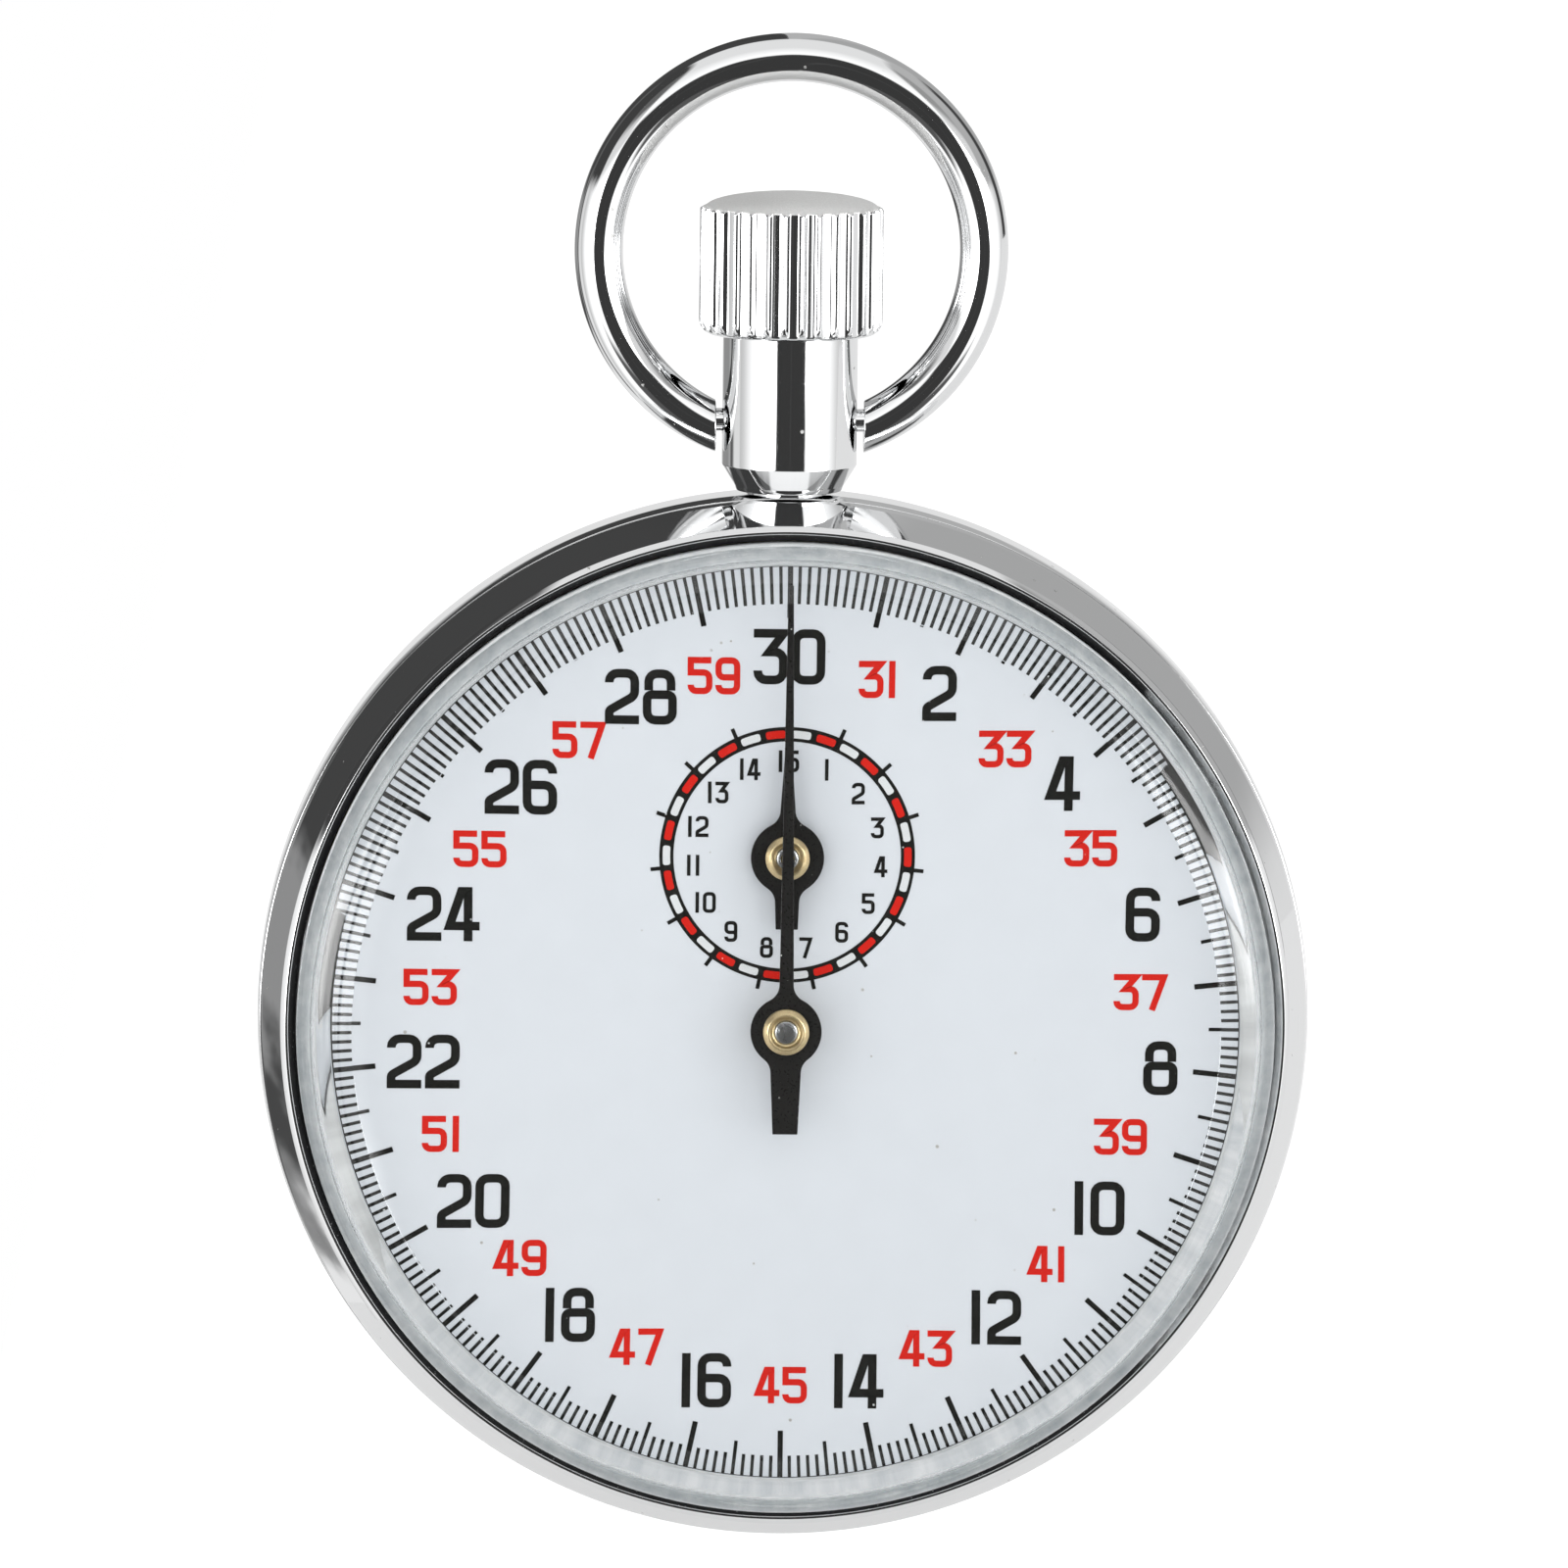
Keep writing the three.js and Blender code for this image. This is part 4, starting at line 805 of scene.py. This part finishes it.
def build_dial():
    """The white disc, with its scales and numbers printed on it."""
    back = DIAL_FRONT - 0.4
    disc = rounded([(0, back), (DIAL_R, back), (DIAL_R, DIAL_FRONT, 0.04), (0, DIAL_FRONT)])
    place("dial_disc", lathe(disc), [DIAL_WHITE], "case", ["dial"])

    centre = Vector((0, MINUTE_Z))
    black, red, white = bmesh.new(), bmesh.new(), bmesh.new()

    # The outer scale: 300 tenths of a second hanging from a thin ring.
    ribbon(black, arc(24.08, 0, 360, 360)[:-1], 0.13, INK_BACK, INK_FRONT, closed=True)
    for tenth in range(300):
        if tenth % 10 == 0:
            inner, width = 21.1, 0.27
        elif tenth % 5 == 0:
            inner, width = 21.75, 0.18
        else:
            inner, width = 22.4, 0.17
        turn = tenth * 1.2
        ribbon(black, [clock(inner, turn), clock(24.02, turn)], width, INK_BACK, INK_FRONT)

    # The seconds of a first turn are black, and those of a second turn red. Three red numbers
    # stand some degrees off their lines.
    for second in range(2, 31, 2):
        number(black, str(second), 20.25, second * 12, (1.74, 2.8, 0.44, 0.19), lean=0.8)
    off_line = {31: 2.2, 33: 1.5, 35: -1.0}
    for second in range(31, 60, 2):
        turn = second * 12 + off_line.get(second, 0)
        number(red, str(second), 19.5, turn, (1.27, 1.88, 0.32, 0.15), lean=0.8)

    # The minute scale: a black ring that holds 30 rounded fields, white then red in each minute.
    ring = [p + centre for p in arc(6.265, 0, 360, 180)[:-1]]
    ribbon(black, ring, 0.73, INK_BACK, INK_FRONT, closed=True)
    for half in range(30):
        inner, outer, edge = 6.07, 6.46, 1.35
        start, end = half * 12 + edge, (half + 1) * 12 - edge
        corners = arc(outer, start, end, 5) + arc(inner, end, start, 5)
        soft = [(*(p + centre), 0.12 if i in (0, 5, 6, 11) else 0) for i, p in enumerate(corners)]
        slab(red if half % 2 else white, rounded(soft, closed=True, steps=3), INK_BACK, FIELD_FRONT)
    for minute in range(1, 16):
        turn = minute * 24
        ribbon(black, [clock(6.63, turn) + centre, clock(7.12, turn) + centre], 0.2, INK_BACK, INK_FRONT)
        number(black, str(minute), 4.9, turn, (0.67, 1.09, 0.18, 0.13), centre)
    place("dial_print_black", black, [INK_BLACK], "case")
    place("dial_print_red", red, [INK_RED], "case")
    place("dial_print_white", white, [INK_WHITE], "case")


# ---- Hands ----

def hand_outline(hub, fillet, root, tip, reach, tail_root, tail_end, tail):
    """One side of a hand from its tip to its tail's end, and that side mirrored. hub and fillet are
    radii, reach and tail are lengths from the hub's centre, and the others are widths."""
    def joint(half, way):
        """The fillet from an arm to the hub, and the angle at which it meets the hub."""
        side = half + fillet
        height = math.sqrt((hub + fillet) ** 2 - side ** 2)
        meets = math.atan2(height, side)
        points = [Vector((side + fillet * math.cos(a), way * (height + fillet * math.sin(a))))
                  for a in (math.pi + meets * i / 8 for i in range(9))]
        return points, meets

    upper, upper_angle = joint(root / 2, 1)
    lower, lower_angle = joint(tail_root / 2, -1)
    round_hub = [Vector((hub * math.cos(a), hub * math.sin(a)))
                 for a in (upper_angle - (upper_angle + lower_angle) * i / 20 for i in range(1, 20))]
    right = [Vector((tip / 2, reach))] + upper + round_hub + lower[::-1] + [Vector((tail_end / 2, -tail))]
    left = [Vector((-p.x, p.y)) for p in reversed(right)]
    return right + left


def build_hand(name, body, node, centre_z, collet, **shape):
    """A flat black hand with its brass collet and the end of its arbor."""
    back, front = depths(node)
    outline = [p + Vector((0, centre_z)) for p in hand_outline(**shape)]
    bm = bmesh.new()
    slab(bm, outline, back, front)
    hand = place(name, bm, [HAND_BLACK], body, [node])
    bevel(hand, 0.035)

    low, high = depths(collet["node"])
    outer, inner, bore = collet["radii"]  # of its side, its chamfered mouth and its hole
    ring = rounded([
        (bore, low),
        (outer, low),
        (outer, high - 0.2, 0.06),
        (outer - 0.24, high, 0.12),
        (inner + 0.1, high - 0.02, 0.06),
        (inner - 0.02, high - 0.2, 0.04),
        (bore, high - 0.24, 0.02),
    ], closed=True)
    brass = turned_brass(collet["name"] + "_brass", (0, centre_z))
    way = Matrix.Translation((0, 0, centre_z)) @ DEPTHWISE
    place(collet["name"], lathe(ring, FINE, closed=True, way=way), [brass], body,
          [collet["node"]])
    arbor = rounded([
        (0, low + 0.1),
        (bore - 0.03, low + 0.1),
        (bore - 0.03, high - 0.12, 0.05),
        (bore * 0.62, high - 0.08, 0.05),
        (bore * 0.58, high - 0.5, 0.03),
        (0, high - 0.6),
    ])
    bm = lathe(arbor, FINE, way=way)
    # Painted shade: the floor of the hollow in the arbor's end takes the hands' black, for the dark of the hole.
    give_second(bm, lambda radius, depth: radius < bore * 0.57 and depth > low + 0.2, centre_z)
    place(collet["name"] + "_arbor_end", bm, [STEEL, HAND_BLACK], body)


def build_hands():
    """The sweep hand on the dial's centre and the minute hand on its small scale."""
    build_hand("sweep_pointer", "sweep", "sweep_hand", 0,
               {"name": "sweep_collet", "node": "sweep_hand_collet", "radii": (1.2, 0.75, 0.62)},
               hub=1.85, fillet=0.9, root=0.74, tip=0.26, reach=23.4,
               tail_root=1.58, tail_end=1.3, tail=5.4)
    build_hand("minute_pointer", "minute", "minute_hand", MINUTE_Z,
               {"name": "minute_collet", "node": "minute_hand_collet", "radii": (1.15, 0.72, 0.6)},
               hub=1.9, fillet=0.9, root=0.78, tip=0.32, reach=5.75,
               tail_root=1.25, tail_end=1.15, tail=3.75)


# ---- Stage ----

def build_camera():
    """The photograph's view: a long lens from a little above, slightly rolled."""
    distance, lens = 600, 265.4
    azimuth, elevation, roll = math.radians(-1.7), math.radians(8), math.radians(0.68)
    target = Vector((-0.2, -DIAL_FRONT, 12.7))
    back = Vector((
        math.sin(azimuth) * math.cos(elevation),
        -math.cos(azimuth) * math.cos(elevation),
        math.sin(elevation),
    ))
    camera = bpy.data.objects.new("camera", bpy.data.cameras.new("camera"))
    camera.data.lens = lens
    camera.data.sensor_width = 36
    camera.data.clip_start = 0.01
    camera.location = (target + back * distance) * MM
    aim = back.to_track_quat("Z", "Y")
    camera.rotation_euler = (aim.to_matrix() @ Matrix.Rotation(roll, 3, "Z")).to_euler()
    bpy.context.scene.collection.objects.link(camera)
    bpy.context.scene.camera = camera


def build_floor():
    """A pale table under and behind the watch. It ends a little left of the case and in front of it,
    so that the case's left flank mirrors the studio and not the table."""
    bm = bmesh.new()
    left, far, front, height = -45, 3000, -40, -CASE_R - 12
    bm.faces.new([bm.verts.new((x, y, height)) for x, y in
                  ((left, front), (far, front), (far, far), (left, far))])
    s = Shader("floor_pale")
    tint = s.colours(s.noise(300.0), (0.79, 0.79, 0.79), (0.81, 0.81, 0.81))
    seen = s.node("LightPath").outputs["Is Camera Ray"]
    s.surface(Base_Color=tint, Roughness=0.9, Specular_IOR_Level=0.0, Emission_Color=(1, 1, 1, 1),
              Emission_Strength=s.math("MULTIPLY", seen, 0.28))
    floor = add_object("floor", bm, [s.owner])


def build_world():
    """White to the eye. Matt surfaces see white too, brighter at both sides. Mirrors see a studio, by
    side angle (0 towards the camera, 90 to the right, 180 behind) and height, in degrees."""
    world = bpy.data.worlds.new("studio")
    bpy.context.scene.world = world
    s = Shader("studio", world)
    towards = s.node("TexCoord").outputs["Generated"]
    x, y, z = s.node("SeparateXYZ", Vector=towards).outputs
    degree = math.degrees(1)
    side = s.math("MULTIPLY", s.math("ARCTAN2", x, s.math("MULTIPLY", y, -1.0)), degree)
    height = s.math("MULTIPLY", s.math("ARCSINE", z), degree)
    off = s.math("ABSOLUTE", side)

    def between(value, low, high, soft):
        return s.math("MULTIPLY", s.ramp(value, low - soft, low + soft, smooth=True),
                      s.ramp(value, high + soft, high - soft, smooth=True))

    def patch(light, value, *masks):
        """light, with value in its place where every mask is 1."""
        whole = masks[0]
        for mask in masks[1:]:
            whole = s.math("MULTIPLY", whole, mask)
        return s.math("ADD", s.math("MULTIPLY", light, s.math("SUBTRACT", 1.0, whole)),
                      s.math("MULTIPLY", value, whole))

    def above(start, soft):
        return s.ramp(height, start - soft, start + soft, smooth=True)

    cloud = s.node("TexNoise", Vector=towards, Scale=7.0, Detail=4.0).outputs[0]
    ripple = s.ramp(cloud, 0.25, 0.75, -1.0, 1.0)
    height = s.math("ADD", height, s.math("MULTIPLY", ripple, 1.5))
    streaks = s.math("ADD", height, s.math("MULTIPLY", ripple, 5.0))

    # Pale walls, under a ceiling that is darker towards the left.
    light = s.ramp(height, 8.0, -30.0, 0.78, 0.88, smooth=True)
    light = patch(light, s.ramp(x, -0.6, 0.6, 0.14, 0.34), above(26, 5))
    # Right and behind: grey, which fades into the wall low down.
    light = patch(light, s.ramp(height, 0.0, 45.0, 0.42, 0.5), above(13, 2), between(side, 60, 190, 4))
    light = patch(light, s.ramp(height, 0.0, 14.0, 0.78, 0.42, smooth=True), between(side, 125, 162, 5))
    # Left and behind: a dark corner high up, and dark streaks lower down.
    light = patch(light, 0.055, above(13, 3), between(side, -190, -60, 3))
    flank = between(side, -162, -125, 6)
    light = patch(light, 0.3, between(streaks, -24, 10, 3), flank)
    light = patch(light, 0.06, s.ramp(streaks, 3, 9, smooth=True), flank)
    light = patch(light, 0.07, between(streaks, -19, -11, 3), flank)
    # A dark upright at each side.
    light = patch(light, 0.06, between(side, 100, 124, 4), between(height, -45, 45, 4))
    light = patch(light, 0.12, between(side, -124, -113, 4), between(height, -45, 45, 4))
    # In front: a broad soft lamp at each side, a dark stand and its foot between them.
    lamp = s.ramp(off, 96, 60, 0.62, 1.3, smooth=True)
    light = patch(light, lamp, between(off, 25, 96, 1.5), between(height, -50, 12, 4))
    light = patch(light, 0.1, between(off, -1, 48, 4), between(height, -70, -24, 5))
    light = patch(light, 0.045, between(off, -1, 25, 1.5), between(height, -60, 15, 2))
    # Overhead: a box of light above and in front of the watch.
    light = patch(light, s.ramp(height, 15, 50, 1.3, 0.85), s.ramp(s.math("ABSOLUTE", x), 0.52, 0.47),
                  above(17, 2), s.ramp(y, 0.2, 0.12))
    # A hot spot in each side lamp.
    hot = 8.0
    light = patch(light, hot, between(side, 26, 62, 3), between(height, -4, 12, 3))
    light = patch(light, hot, between(side, -62, -26, 3), between(height, -8, 7, 3))

    soft = patch(1.0, 1.9, between(off, 50, 82, 8), between(height, -35, 35, 8))
    path = s.node("LightPath").outputs
    studio = patch(patch(1.0, soft, path["Is Diffuse Ray"]), light, path["Is Glossy Ray"])
    backdrop = s.node("Background", Strength=studio)
    backdrop.inputs["Color"].default_value = (1, 1, 1, 1)
    s.tree.links.new(backdrop.outputs[0], s.output.inputs[0])
    world.cycles.sampling_method = "NONE"


build_camera()
build_case()
build_neck()
build_bow()
build_crown()
build_crown_spring()
build_dial()
build_hands()
build_floor()
build_world()
bpy.context.scene.view_settings.view_transform = "Standard"
